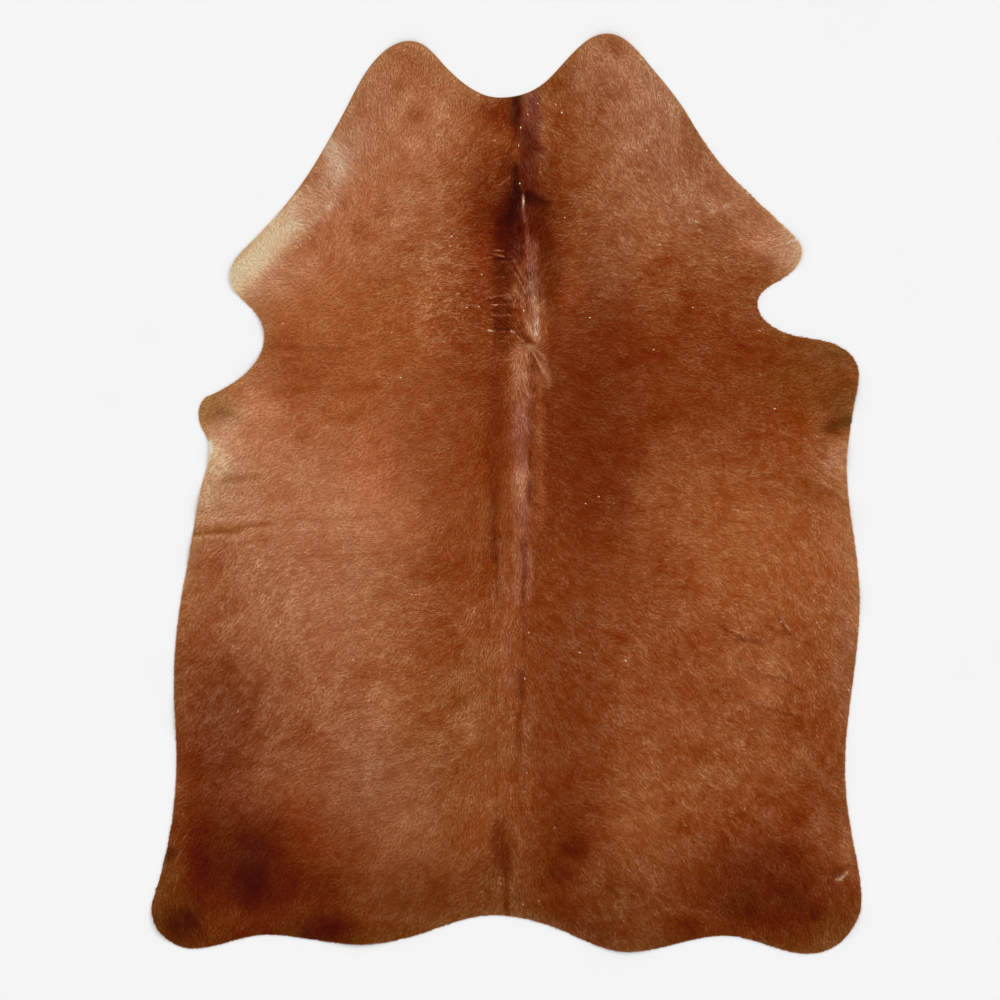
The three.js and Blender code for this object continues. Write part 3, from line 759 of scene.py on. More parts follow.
# The broad soft casts
CASTS = (
    # at, px, py, wide, long, kind, steps
    ("left shoulder, paler", 335, 212, 50, 55, "paler", 8),
    ("left neck tip", 365, 92, 26, 26, "dustier", 8),
    ("left leg and armpit", 250, 430, 45, 50, "paler", 10),
    ("left flank, front", 350, 515, 75, 36, "paler", 8),
    ("left flank, dusty", 312, 600, 42, 60, "paler", 7),
    ("left belly", 245, 750, 55, 85, "cooler", 8),
    ("left haunch edge", 205, 860, 55, 60, "duller", 8),
    ("left chest, inner", 385, 300, 34, 60, "deeper", 7),
    ("beside the withers", 470, 275, 34, 24, "paler", 5),
    ("left shoulder, rear", 280, 275, 44, 30, "paler", 6),
    ("left ribs, front", 372, 468, 28, 36, "redder", 7),
    ("left ribs, middle", 410, 524, 22, 26, "paler", 11),
    ("left leg, rear", 225, 490, 28, 18, "duller", 5),
    ("left flank edge", 207, 612, 16, 60, "paler", 5),
    ("left of the back line", 488, 392, 48, 34, "deeper", 6),
    ("left side, inner", 450, 572, 46, 22, "deeper", 7),
    ("left side, rear", 425, 662, 40, 34, "deeper", 6),
    ("left tail side", 385, 800, 70, 70, "cooler", 5),
    ("withers", 520, 205, 65, 55, "deeper", 6),
    ("ridge", 531, 285, 13, 36, "deeper", 8),
    ("whorl, right of the ridge", 541, 346, 9, 17, "paler", 9),
    ("right neck, pink", 650, 150, 48, 80, "dustier", 4),
    ("beside the back line, left", 490, 572, 18, 20, "deeper", 5),
    ("croup", 530, 750, 44, 30, "dustier", 4),
    ("tail zone", 492, 872, 18, 34, "deeper", 6),
    ("hind part, left", 400, 885, 85, 34, "duller", 6),
    ("right neck tip", 592, 72, 34, 36, "dustier", 7),
    ("right neck, inner", 610, 255, 30, 60, "dustier", 9),
    ("right of the back, rear", 572, 745, 46, 165, "duller", 7),
    ("right side, outer", 762, 520, 60, 42, "paler", 5),
    ("right leg, inner", 790, 425, 34, 40, "redder", 7),
    # Painted shade of the lying hair at the right flank's front
    ("right flank, front", 804, 490, 32, 20, "deeper", 9),
    ("right flank, pale", 812, 565, 24, 22, "paler", 6),
    ("right rear, pale", 770, 770, 20, 18, "paler", 6),
    ("right flank", 752, 660, 46, 48, "paler", 5),
    ("right rear, inner", 655, 715, 40, 42, "paler", 5),
    ("right haunch, inner", 752, 862, 30, 30, "dustier", 6),
    ("right haunch corner", 825, 790, 36, 46, "duller", 5),
    # The hind rim casts are painted shadow along the hind edge
    ("hind rim, left corner", 172, 932, 28, 20, "deeper", 12),
    ("hind rim, left", 250, 940, 75, 16, "deeper", 10),
    ("hind rim, left, dark", 333, 930, 30, 18, "deeper", 11),
    ("hind rim, left lobe", 365, 940, 62, 16, "deeper", 11),
    ("hind rim, right lobe", 690, 936, 28, 18, "deeper", 10),
    ("hind rim, right corner", 782, 936, 48, 22, "deeper", 16),
    ("left rump", 412, 772, 19, 20, "paler", 6),
    ("left tail side, inner", 451, 772, 18, 22, "deeper", 6),
    ("right shoulder, inner", 650, 252, 20, 18, "paler", 4),
    ("right of the ridge", 569, 292, 15, 22, "redder", 8),
    ("right rear, outer", 690, 731, 20, 20, "paler", 5),
    ("right flank, mauve", 764, 690, 22, 18, "paler", 7),
    ("left armpit, rear", 250, 408, 22, 17, "paler", 6),
    ("withers, left", 490, 248, 17, 20, "redder", 5),
    ("left flank, middle", 291, 650, 20, 21, "deeper", 6),
    ("left of the back line, middle", 515, 545, 28, 36, "deeper", 4),
    ("left haunch edge, front", 210, 790, 17, 40, "duller", 5),
    ("left flank edge, rear", 209, 612, 13, 18, "duller", 5),
    ("right of the tail", 552, 832, 34, 34, "duller", 5),
    ("right chest, rear", 668, 411, 34, 19, "deeper", 5),
    ("right side, front", 650, 510, 21, 34, "paler", 5),
    ("left haunch, rear", 250, 892, 20, 17, "deeper", 5),
    ("left thigh, rear", 330, 891, 20, 18, "deeper", 5),
    ("right thigh", 664, 890, 28, 16, "paler", 4),
)

# How far the patches wander from their plain shapes, and over what distance, in millimetres. The lines,
# clouds and casts wander by a smaller share of it.
WANDER = 8.0
WANDER_CELL = 45.0
LINE_WANDER = 0.25

# Tiny pale tufts of each tone, as (px, py)
FLECKS = {
    "white_hair": (
        (520, 184), (521, 128), (524, 202), (452, 237), (590, 318), (775, 409), (696, 222), (524, 311),
        (562, 113), (401, 378), (647, 151), (626, 661),
    ),
    "pale_hair": (
        (482, 275), (519, 146), (654, 350), (416, 595), (412, 595), (467, 308), (580, 653), (565, 218),
        (817, 623), (528, 115), (556, 105), (538, 104), (392, 333), (760, 331), (238, 712), (283, 324),
        (781, 622), (474, 612),
    ),
    "pale_arc": (
        (586, 504), (599, 497), (693, 308), (525, 679), (660, 245), (495, 141), (479, 307), (529, 633),
    ),
    "whorl_pale": (
        (511, 799), (527, 773), (555, 828), (501, 884), (539, 901), (523, 905), (482, 628), (504, 714),
        (541, 173),
    ),
}

# Fine waves of lying hair round a centre, painted as bands of light and shade, between two headings and
# two distances from it
RIPPLES = (
    # at, px, py, from_heading, to_heading, near, far, pitch, strength
    ("left elbow", 299, 242, 30, 105, 9, 90, 4.2, 9),
    ("right shoulder", 715, 262, 10, 70, 34, 62, 4.5, 10),
)

RIPPLE_WOBBLE = 0.35
RIPPLE_WOBBLE_CELL = 5
RIPPLE_FADE = 12

# Paler, greener tone along the cut edge, added in sRGB steps
EDGE_TINT = (1, 9, 7)
EDGE_TINT_DEPTH = 22.0

# Unevenness of the coat in sRGB steps, with its share on red, green and blue, and how much each kind adds.
# It is partly the hair's own uneven tone and partly painted light: glints on the locks and soft sheen in the
# clouds.
UNEVEN = (0.74, 1.02, 0.99)
CLOUDS = (
    # cell, strength
    (85, 6.0),
    (38, 8.0),
    (17, 9.3),
)
STREAKS = (
    # cell, step, steps, strength
    (7, 6, 3, 3.0),
    (4, 3, 3, 4.5),
)
TUFT_UNEVEN = 2.0
LOCK_UNEVEN = 11.0
# Pale locks, partly painted glints: their share and how much lighter they are
PALE_AND_GLINT_LOCKS = (0.009, 38)
DARK_LOCKS = (0.02, -25)
TONE_RANGE = (2, 250)

# How much of that unevenness shows: by the coat's lightness, from place to place, and the least share of
# the clouds
UNEVEN_BY_LIGHTNESS = ((35, 55, 75, 90, 150, 180), (0.6, 0.72, 0.93, 1.04, 1.0, 0.75))
LIGHTNESS = (0.3, 0.59, 0.11)
LEAST_CLOUD = 0.4
GRAIN_ELSEWHERE = 0.95
GRAIN = (
    # at, px, py, wide, long, turn, share
    ("left chest", 345, 350, 120, 90, 0, 0.55),
    ("left armpit", 300, 315, 50, 34, 0, 0.35),
    ("left ribs", 390, 470, 120, 110, 0, 0.52),
    ("left rump", 350, 810, 130, 60, 0, 0.62),
    ("left tail side", 385, 880, 70, 50, 0, 0.45),
    ("left of the ridge", 455, 290, 50, 60, 0, 1.35),
    ("left neck", 400, 115, 75, 85, 0, 0.7),
    ("neck", 550, 150, 70, 90, 0, 1.02),
    ("right shoulder", 660, 215, 110, 90, 0, 1.15),
    ("right chest", 620, 410, 90, 80, 0, 0.8),
    ("right side", 610, 580, 55, 60, 0, 0.68),
    ("right leg", 780, 385, 90, 50, 0, 0.75),
    ("right rear", 725, 700, 130, 120, 0, 1.15),
    ("right of the back, rear", 560, 740, 40, 120, 0, 0.85),
    ("hind edge, left", 255, 890, 130, 60, 0, 0.65),
    ("left shoulder, cream", 256, 260, 34, 34, 0, 0.3),
    ("ridge and whorl", 524, 300, 22, 90, 0, 1.5),
)

# How far the hair turns from its growth in small swirls, in degrees, and over what distance, and how far
# each lock turns by itself
SWIRL = 27.0
SWIRL_CELL = 22.0
LOCK_TURN = 13.0

# Share of a colour's light that the lying hair gives back in this scene, what its gloss adds or its shade
# takes away, the palest and darkest albedo, and how much darker the skin under the hair is, as painted shade
LIGHT_SHARE = (0.698, 0.648, 0.634)
GLOSS = (-0.013, 0.0, 0.002)
ALBEDO_RANGE = (0.002, 0.9)
UNDERCOAT_PAINTED_SHADE = 0.72

# Linear colours of the other surfaces, how the fine noise darkens the hair, the tints of its shine, and the
# range in which a noise mostly lies
WHITE = (1, 1, 1)
SUEDE = ((0.42, 0.30, 0.20), (0.62, 0.49, 0.36))
FLOOR = ((0.86, 0.86, 0.86), (0.88, 0.88, 0.88))
HAIR_SHADE = (0.88, 0.84, 0.82)
# The undercoat's noise darkens it further, as painted shade under the hair
UNDERCOAT_HAIR_SHADE = (0.75, 0.7, 0.66)
HAIR_GLOSS_TINT = (1.0, 0.58, 0.32, 1)
HAIR_SHEEN_TINT = (1.0, 0.6, 0.35, 1)
NOISE_LOW = 0.3
NOISE_HIGH = 0.7

# The locks of hair in their tufts, in millimetres and degrees. Pairs are the least and most of a lock's own
# share, or of its height in the coat.
TUFT_PITCH = 4.4
TUFT_OVERHANG = 1.0
LOCKS_IN_TUFT = 3
LOCK_SPREAD = 0.62
LOCK_INSET = 0.3
LOCK_LENGTH = 10.5
LOCK_LENGTH_SHARE = (0.7, 1.25)
LOCK_GATHER = (0.0, 0.45)
LOCK_OVERHANG = 1.8
LOCK_SHORTEST = 0.1
LEAST_CROSSING = 0.1
LOCK_BEND_AT = (0.35, 0.5)
LOCK_BEND_ASIDE = 0.5
LOCK_ROLL = 10
LOCK_WIDTH = 1.4
LOCK_WIDTH_SHARE = (0.6, 1.35)
LOCK_ROOT_SUNK = 0.2
LOCK_BEND_HEIGHT = (0.3, 0.85)
LOCK_TIP_HEIGHT = (0.55, 1.02)
# Painted shade at each lock's root and painted light at its tip, as shares of its colour at root, middle and
# tip
LOCK_PAINTED_SHADING = (0.86, 1.0, 1.04)
FLECK_LENGTH = 6.0
FLECK_HALF_WIDTH = 1.4
# Towards the cut edge the coat thins over this distance, down to this share
THIN_EDGE = 9
THIN_EDGE_SHARE = 0.35
# The locks are this long where the back line rises this far
BACK_LOCK_LENGTH = 18.0
BACK_LINE_FULL = 2.5
STRIPS = ("coat_left_flank", "coat_left_side", "coat_back", "coat_right_side", "coat_right_flank")

# Width of each half of the skin's baked image, as a share of the whole
HALF_IMAGE = 0.49

# The skin's mesh, in millimetres
EDGE_STEPS = 20
SKIN_PITCH = 13.0
EDGE_CLEARANCE = 7.0
JOIN_DISTANCE = 1e-5
# Rounded cut edge, from its top to its underside: how far out of the top's rim, and share of the skin's
# thickness
EDGE_ROUND = ((0.0, 1.0), (0.7, 0.86), (1.0, 0.5), (0.7, 0.14), (0.0, 0.0))

# The grid that holds the distance from the cut edge, in millimetres
FIELD_STEP = 8.0
FIELD_MARGIN = 40.0

# Camera, floor and light
VIEW_WIDTH = 2315 * MM
VIEW_MIDDLE = (-15 * MM, -15 * MM)
LENS = 300.0
SENSOR = 36.0
VIEW_REACH = 200
FLOOR_HALF = 30.0
STUDIO_STRENGTH = 0.86
SOFT_SOURCE_STRENGTH = 0.85
SOFT_SOURCE_SPREAD = 40
SOFT_SOURCE_TURN = (-30, 35)

# Seeds of the smooth random fields and of the random draws, the fields' size in cells and their spread, and
# how far a point strays from its cell's middle
RIPPLE_SEED = 15
WANDER_SEEDS = (16, 17)
SWIRL_SEED = 18
CLOUD_SEED = 11
STREAK_SEED = 21
SKIN_SEED = 21
COAT_SEED = 33
FIELD_CELLS = 256
FIELD_SPREAD = 0.45
JITTER = 0.45


def columns(table):
    """A table's columns without its names, as float arrays."""
    return np.array([row[1:] for row in table], float).T


def smoothstep(t):
    """A soft rise from 0 to 1."""
    t = np.clip(t, 0, 1)
    return t * t * (3 - 2 * t)


def unit(v):
    return v / np.maximum(np.hypot(v[:, 0], v[:, 1]), 1e-9)[:, None]


def turned(way, angle):
    """Directions turned anticlockwise by an angle in radians."""
    cosine, sine = np.cos(angle), np.sin(angle)
    return np.stack([way[:, 0] * cosine - way[:, 1] * sine, way[:, 0] * sine + way[:, 1] * cosine], 1)


def from_heading(degrees):
    return np.stack([np.cos(np.radians(degrees)), np.sin(np.radians(degrees))], -1)


def sideways(way):
    """The direction a quarter turn anticlockwise from each one."""
    return np.stack([-way[:, 1], way[:, 0]], 1)


def to_pixels(x, y):
    return MIDDLE[0] + x / PIXEL, MIDDLE[1] - y / PIXEL


def beside(x, y, from_x, from_y, to_x, to_y):
    """How far each point is along a line and beside it, and the line's length."""
    length = math.hypot(to_x - from_x, to_y - from_y)
    way_x, way_y = (to_x - from_x) / length, (to_y - from_y) / length
    along = (x - from_x) * way_x + (y - from_y) * way_y
    across = (x - from_x) * way_y - (y - from_y) * way_x
    return along, across, length


def oval(px, py, at_px, at_py, wide, long, turn):
    """Square of the distance from an oval's middle, 1 at its rim."""
    cosine, sine = math.cos(math.radians(turn)), math.sin(math.radians(turn))
    u = ((px - at_px) * cosine + (at_py - py) * sine) / wide
    v = ((at_py - py) * cosine - (px - at_px) * sine) / long
    return u * u + v * v


def lattice(seed):
    """A smooth random field, as a function of points in cells, from -1 to 1."""
    values = np.random.default_rng(seed).uniform(-1, 1, (FIELD_CELLS, FIELD_CELLS))

    def field(x, y):
        col, row = np.floor(x).astype(int), np.floor(y).astype(int)
        u, v = smoothstep(x - col), smoothstep(y - row)

        def at(right, up):
            return values[(row + up) % FIELD_CELLS, (col + right) % FIELD_CELLS]

        low = at(0, 0) * (1 - u) + at(1, 0) * u
        high = at(0, 1) * (1 - u) + at(1, 1) * u
        return low * (1 - v) + high * v

    return field


# The form

def outline_points(steps):
    """Points of the cut edge and the unit normals out of it, along cubic curves between the table's rows."""
    x, y, heading = columns(OUTLINE)
    start = np.stack([x, y], 1)
    way = from_heading(heading)
    end, way_out = np.roll(start, -1, 0), np.roll(way, -1, 0)
    turn = np.arctan2(way[:, 0] * way_out[:, 1] - way[:, 1] * way_out[:, 0], (way * way_out).sum(1))
    handle = (np.hypot(*(end - start).T) / (3 * np.cos(turn / 4) ** 2))[:, None]
    knots = start, start + handle * way, end - handle * way_out, end
    t = (np.arange(steps) / steps)[None, :, None]
    a, b, c, d = (knot[:, None, :] for knot in knots)
    points = (1 - t) ** 3 * a + 3 * (1 - t) ** 2 * t * b + 3 * (1 - t) * t**2 * c + t**3 * d
    along = (1 - t) ** 2 * (b - a) + 2 * (1 - t) * t * (c - b) + t**2 * (d - c)
    along = unit(along.reshape(-1, 2))
    return points.reshape(-1, 2), -sideways(along)


def lift(x, y):
    """Height of the folds and of the curled tips."""
    height = np.zeros_like(x)
    for _, *line, rise, reach in FOLDS:
        along, across, length = beside(x, y, *line)
        section = np.maximum(0, 1 - (across / reach) ** 2) ** 2
        height += rise * section * (1 - smoothstep(along / length))
    return height


def wrinkles(x, y, way):
    """Height of the wrinkles that lift (way 1) or of those that thin the coat (way -1)."""
    height = np.zeros_like(x)
    for _, *line, rise, reach in WRINKLES:
        if rise * way < 0:
            continue
        along, across, length = beside(x, y, *line)
        share = along / length
        ends = smoothstep(share / WRINKLE_FADE + 0.5) * smoothstep((1 - share) / WRINKLE_FADE + 0.5)
        height += rise * ends * np.exp(-((across / reach) ** 2))
    return height


def back_line(y, column):
    """One column of the back line's table at each y."""
    table = columns(BACK)
    return np.interp(-y, -table[0], table[column])


def back_line_rise(x, y):
    """How much deeper the coat is on the back line than beside it."""
    across = (x - back_line(y, 1)) / back_line(y, 3)
    return back_line(y, 2) * np.maximum(0, 1 - across**2) ** 2


def skin_under(x, y):
    """Height of the skin's underside over the floor."""
    return lift(x, y) + wrinkles(x, y, 1)


def coat_depth(x, y):
    """Depth of the lying coat on the skin."""
    return np.maximum(LYING_COAT + back_line_rise(x, y) + wrinkles(x, y, -1), THINNEST_COAT)


class EdgeField:
    """Distance from the cut edge, more than zero outside it, on a grid that is read between its nodes."""

    def __init__(self, points, out):
        self.low = points.min(0) - FIELD_MARGIN
        across, along = (np.ceil((points.max(0) + FIELD_MARGIN - self.low) / FIELD_STEP)).astype(int) + 1
        xs = self.low[0] + FIELD_STEP * np.arange(across)
        ys = self.low[1] + FIELD_STEP * np.arange(along)
        self.values = np.empty((along, across))
        for j, y in enumerate(ys):
            away_x, away_y = xs[:, None] - points[:, 0], y - points[:, 1]
            nearest = np.argmin(away_x**2 + away_y**2, 1)
            away = np.stack([xs, np.full(across, y)], 1) - points[nearest]
            self.values[j] = away[:, 0] * out[nearest, 0] + away[:, 1] * out[nearest, 1]

    def __call__(self, x, y):
        u, v = (x - self.low[0]) / FIELD_STEP, (y - self.low[1]) / FIELD_STEP
        rows, cols = self.values.shape
        i, j = np.clip(u.astype(int), 0, cols - 2), np.clip(v.astype(int), 0, rows - 2)
        u, v = u - i, v - j
        low = self.values[j, i] * (1 - u) + self.values[j, i + 1] * u
        high = self.values[j + 1, i] * (1 - u) + self.values[j + 1, i + 1] * u
        return low * (1 - v) + high * v


# The coat's growth

def back_line_growth(y, side):
    """Which way the back line's own hair lies, from its left side (-1) to its right side (1)."""
    table = columns(BACK)
    left, middle, right = (
        np.stack([np.interp(-y, -table[0], part) for part in from_heading(heading).T], -1)
        for heading in table[4:7]
    )
    share = np.clip(np.abs(side), 0, 1)[:, None]
    return unit(middle * (1 - share) + np.where(side[:, None] < 0, left, right) * share)


def growth(x, y):
    """Unit direction in which the hair lies at each point, root to tip."""
    px, py = to_pixels(x, y)
    at_px, at_py, heading = columns(GROWTH)
    near = 1 / ((px[:, None] - at_px) ** 2 + (py[:, None] - at_py) ** 2 + GROWTH_BLEND**2) ** 2
    way = unit(near @ from_heading(heading))
    side = (x - back_line(y, 1)) / (back_line(y, 3) * BACK_LINE_SPREAD)
    share = 1 - smoothstep((np.abs(side) - BACK_LINE_HOLD) / BACK_LINE_FADE)
    share *= smoothstep((BACK[0][1] + BACK_LINE_END - y) / BACK_LINE_END)
    way = unit(way * (1 - share[:, None]) + back_line_growth(y, side) * share[:, None])
    for _, whorl_px, whorl_py, reach, turn in WHORLS:
        away = np.stack([px - whorl_px, whorl_py - py], -1)
        own = turned(unit(away), math.radians(turn))
        share = np.exp(-((away**2).sum(1) / reach**2))[:, None]
        way = unit(way * (1 - share) + own * share)
    return turned(way, np.radians(SWIRL) * lattice(SWIRL_SEED)(x / SWIRL_CELL, y / SWIRL_CELL))


# The coat's colour

def to_linear(srgb):
    """Linear light from sRGB steps, by the curve of the standard."""
    srgb = np.asarray(srgb, float) / 255
    return np.where(srgb <= 0.04045, srgb / 12.92, ((np.maximum(srgb, 0) + 0.055) / 1.055) ** 2.4)


def albedo(seen):
    """Albedo that comes out as the seen linear colour under this scene's light."""
    return np.clip((seen - np.array(GLOSS)) / np.array(LIGHT_SHARE), *ALBEDO_RANGE)


def ripples(px, py):
    """Painted light and shade of the lying hair's waves, in sRGB steps."""
    waves = np.zeros_like(px)
    wobble = RIPPLE_WOBBLE * lattice(RIPPLE_SEED)(px / RIPPLE_WOBBLE_CELL, py / RIPPLE_WOBBLE_CELL)
    for _, at_px, at_py, low, high, near, far, pitch, strength in RIPPLES:
        away = np.hypot(px - at_px, py - at_py)
        heading = np.degrees(np.arctan2(at_py - py, px - at_px))
        inside = smoothstep((away - near) / pitch) * smoothstep((far - away) / (4 * pitch))
        inside *= smoothstep((heading - low) / RIPPLE_FADE) * smoothstep((high - heading) / RIPPLE_FADE)
        waves += strength * inside * np.sin(2 * math.pi * (away / pitch + wobble))
    return waves


def tone_at(x, y, edge):
    """The coat's colour at each point, in sRGB steps, before its own unevenness."""
    colour = np.tile(np.array(TONES[FIRST_TONE], float), (len(x), 1))

    def lay(tone, share):
        colour[:] += (np.array(TONES[tone]) - colour) * share[:, None]

    off_x, off_y = (WANDER * lattice(seed)(x / WANDER_CELL, y / WANDER_CELL) for seed in WANDER_SEEDS)
    px, py = to_pixels(x + off_x, y + off_y)
    for _, *place, tone, share in PATCHES:
        lay(tone, share * np.exp(-(oval(px, py, *place) ** SOFTNESS)))
    px, py = to_pixels(x + off_x * LINE_WANDER, y + off_y * LINE_WANDER)
    for _, *line, reach, tone, share in STROKES:
        along, across, length = beside(px, py, *line)
        past = np.maximum(np.maximum(-along, along - length), 0) / (2 * reach)
        lay(tone, share * np.exp(-(((across / reach) ** 2 + past**2) ** SOFTNESS)))
    for _, *place, kind, steps in CASTS:
        near = np.exp(-(oval(px, py, *place, 0.0) ** SOFTNESS))
        colour += steps * near[:, None] * np.array(CAST_KINDS[kind])
    waves = ripples(*to_pixels(x, y))
    for rows in MOTTLES.values():
        for *place, by in rows:
            waves += by * np.exp(-oval(px, py, *place))
    rim = np.exp(-((edge(x, y) / EDGE_TINT_DEPTH) ** 2))
    return colour + rim[:, None] * np.array(EDGE_TINT) + waves[:, None] * np.array(MOTTLE_SHARE)


def grain(x, y, tone):
    """Share of the coat's unevenness that shows at each point."""
    px, py = to_pixels(x, y)
    share = np.full(len(x), GRAIN_ELSEWHERE)
    for _, *place, own in GRAIN:
        share += (own - share) * np.exp(-(oval(px, py, *place) ** SOFTNESS))
    return share * np.interp(tone @ np.array(LIGHTNESS), *UNEVEN_BY_LIGHTNESS)


def clouds(x, y):
    """Soft clouds of lighter and darker hair, in sRGB steps: partly the hair's own tone and partly painted
    sheen.
    """
    return sum(
        strength * lattice(CLOUD_SEED + k)(x / cell, y / cell) for k, (cell, strength) in enumerate(CLOUDS)
    )


def streaks(x, y):
    """Streaks along the growth: a fine random field smeared along the way that the hair lies."""
    total = np.zeros_like(x)
    for k, (cell, step, steps, strength) in enumerate(STREAKS):
        fine = lattice(STREAK_SEED + k)
        smeared = np.zeros_like(x)
        for way in (-1, 1):
            at = np.stack([x, y], 1)
            for _ in range(steps):
                at = at + way * step * growth(*at.T)
                smeared += fine(*(at / cell).T)
        total += strength * smeared / math.sqrt(2 * steps) / FIELD_SPREAD
    return total


# Meshes

def jittered_grid(low, high, pitch, rng):
    """Points spread evenly at random, one to a cell of a staggered grid."""
    across, along = np.ceil((high - low) / pitch).astype(int) + 1
    col, row = np.meshgrid(np.arange(across), np.arange(along))
    cell = np.stack([col + 0.5 * (row % 2), row], -1).reshape(-1, 2) * pitch
    return low + cell + rng.uniform(-JITTER, JITTER, cell.shape) * pitch


def add_mesh(name, points, faces, material):
    """A mesh piece from points in millimetres in the hide's frame and triangles."""
    mesh = bpy.data.meshes.new(name)
    mesh.vertices.add(len(points))
    mesh.vertices.foreach_set("co", (points * MM).astype(np.float32).ravel())
    mesh.loops.add(faces.size)
    mesh.loops.foreach_set("vertex_index", faces.astype(np.int32).ravel())
    mesh.polygons.add(len(faces))
    mesh.polygons.foreach_set("loop_start", np.arange(0, faces.size, 3, dtype=np.int32))
    mesh.update(calc_edges=True)
    mesh.materials.append(material)
    piece = bpy.data.objects.new(name, mesh)
    bpy.context.collection.objects.link(piece)
    return piece


def paint(piece, colours):
    """Stores a linear colour for each vertex."""
    layer = piece.data.color_attributes.new("coat", "BYTE_COLOR", "POINT")
    rgba = np.concatenate([colours, np.ones((len(colours), 1))], 1)
    layer.data.foreach_set("color", rgba.astype(np.float32).ravel())


def unwrap(piece, uv):
    """Stores a place on the baked image for each vertex."""
    layer = piece.data.uv_layers.new(name="OFBake")
    corners = np.empty(len(piece.data.loops), np.int32)
    piece.data.loops.foreach_get("vertex_index", corners)
    layer.data.foreach_set("uv", uv[corners].astype(np.float32).ravel())


# Materials

def new_material(name):
    material = bpy.data.materials.new(name)
    material.use_nodes = True
    return material, material.node_tree.nodes, material.node_tree.links


def add_noise(nodes, links, scale, detail):
    """Noise in the hide's own metres."""
    place = nodes.new("ShaderNodeTexCoord")
    noise = nodes.new("ShaderNodeTexNoise")
    noise.inputs["Scale"].default_value = scale
    noise.inputs["Detail"].default_value = detail
    links.new(place.outputs["Object"], noise.inputs["Vector"])
    return noise.outputs["Fac"]


def spread_noise(nodes, links, socket, scale, detail, low=0, high=1):
    """Noise spread over a range, into a socket."""
    noise = add_noise(nodes, links, scale, detail)
    spread = nodes.new("ShaderNodeMapRange")
    ends = {"From Min": NOISE_LOW, "From Max": NOISE_HIGH, "To Min": low, "To Max": high}
    for name, value in ends.items():
        spread.inputs[name].default_value = value
    links.new(noise, spread.inputs["Value"])
    links.new(spread.outputs["Result"], socket)
    return noise


def add_mix(nodes, links, surface, colours, scale, detail):
    """Gives the surface a mix of two colours by noise, and returns the mix and the noise."""
    mix = nodes.new("ShaderNodeMix")
    mix.data_type = "RGBA"
    for socket, colour in zip("AB", colours):
        mix.inputs[socket].default_value = (*colour, 1)
    links.new(mix.outputs["Result"], surface.inputs["Base Color"])
    return mix, spread_noise(nodes, links, mix.inputs["Factor"], scale, detail)


def add_bump(nodes, links, surface, height, strength, distance):
    """Small relief on the surface, its depth in metres."""
    bump = nodes.new("ShaderNodeBump")
    bump.inputs["Strength"].default_value = strength
    bump.inputs["Distance"].default_value = distance
    links.new(height, bump.inputs["Height"])
    links.new(bump.outputs["Normal"], surface.inputs["Normal"])


def hair_material(name, darken):
    """Coat colour stored in the mesh, made a little uneven, with the soft satin of short hair."""
    material, nodes, links = new_material(name)
    surface = nodes["Principled BSDF"]
    colour = nodes.new("ShaderNodeVertexColor")
    colour.layer_name = "coat"
    uneven, fine = add_mix(nodes, links, surface, (WHITE, darken), scale=420, detail=2)
    uneven.blend_type = "MULTIPLY"
    links.new(colour.outputs["Color"], uneven.inputs["A"])
    spread_noise(nodes, links, surface.inputs["Roughness"], scale=60, detail=3, low=0.5, high=0.68)
    add_bump(nodes, links, surface, fine, strength=0.25, distance=0.0004)
    surface.inputs["Specular IOR Level"].default_value = 0.08
    surface.inputs["Specular Tint"].default_value = HAIR_GLOSS_TINT
    surface.inputs["Sheen Weight"].default_value = 0.03
    surface.inputs["Sheen Roughness"].default_value = 0.4
    surface.inputs["Sheen Tint"].default_value = HAIR_SHEEN_TINT
    return material


def suede_material():
    """Skin side and cut edge: pale tanned suede with a short nap and darker veins."""
    material, nodes, links = new_material("suede")
    surface = nodes["Principled BSDF"]
    add_mix(nodes, links, surface, SUEDE, scale=9, detail=6)
    spread_noise(nodes, links, surface.inputs["Roughness"], scale=120, detail=2, low=0.78, high=0.95)
    nap = add_noise(nodes, links, scale=900, detail=3)
    add_bump(nodes, links, surface, nap, strength=0.5, distance=0.0005)
    surface.inputs["Specular IOR Level"].default_value = 0.2
    return material


def floor_material():
    """Pale studio floor with faint unevenness in its paint."""
    material, nodes, links = new_material("floor")
    surface = nodes["Principled BSDF"]
    add_mix(nodes, links, surface, FLOOR, scale=3, detail=2)
    surface.inputs["Roughness"].default_value = 0.9
    surface.inputs["Specular IOR Level"].default_value = 0.1
    return material


# The skin

def plan_skin(rim, points, edge):
    """The skin seen from above: points, triangles, and which of the points make up the rim."""
    rng = np.random.default_rng(SKIN_SEED)
    inner = jittered_grid(points.min(0), points.max(0), SKIN_PITCH, rng)
    inner = inner[edge(*inner.T) < -EDGE_CLEARANCE]
    ring = list(range(len(rim)))
    flat = [Vector(point) for point in np.concatenate([rim, inner])]
    verts, _, faces, came_from, _, _ = delaunay_2d_cdt(flat, [], [ring], 1, JOIN_DISTANCE)
    now_at = {old: new for new, olds in enumerate(came_from) for old in olds}
    return np.array([v[:] for v in verts]), np.array(faces), np.array([now_at[k] for k in ring])


def round_edge(loops):
    """Triangles between each loop of points and the one below it."""
    bands = []
    for upper, lower in zip(loops, loops[1:]):
        upper_next, lower_next = np.roll(upper, -1), np.roll(lower, -1)
        bands.append(np.stack([upper, lower, lower_next], 1))
        bands.append(np.stack([upper, lower_next, upper_next], 1))
    return bands


def place_side_by_side(points, top_count):
    """The upper side on the left half of the baked image and the rest on its right half."""
    size = points.max(0) - points.min(0)
    place = (points[:, :2] - points.min(0)[:2]) / size[:2]
    place[:, 0] *= HALF_IMAGE
    place[top_count:, 0] += 1 - HALF_IMAGE
    return place


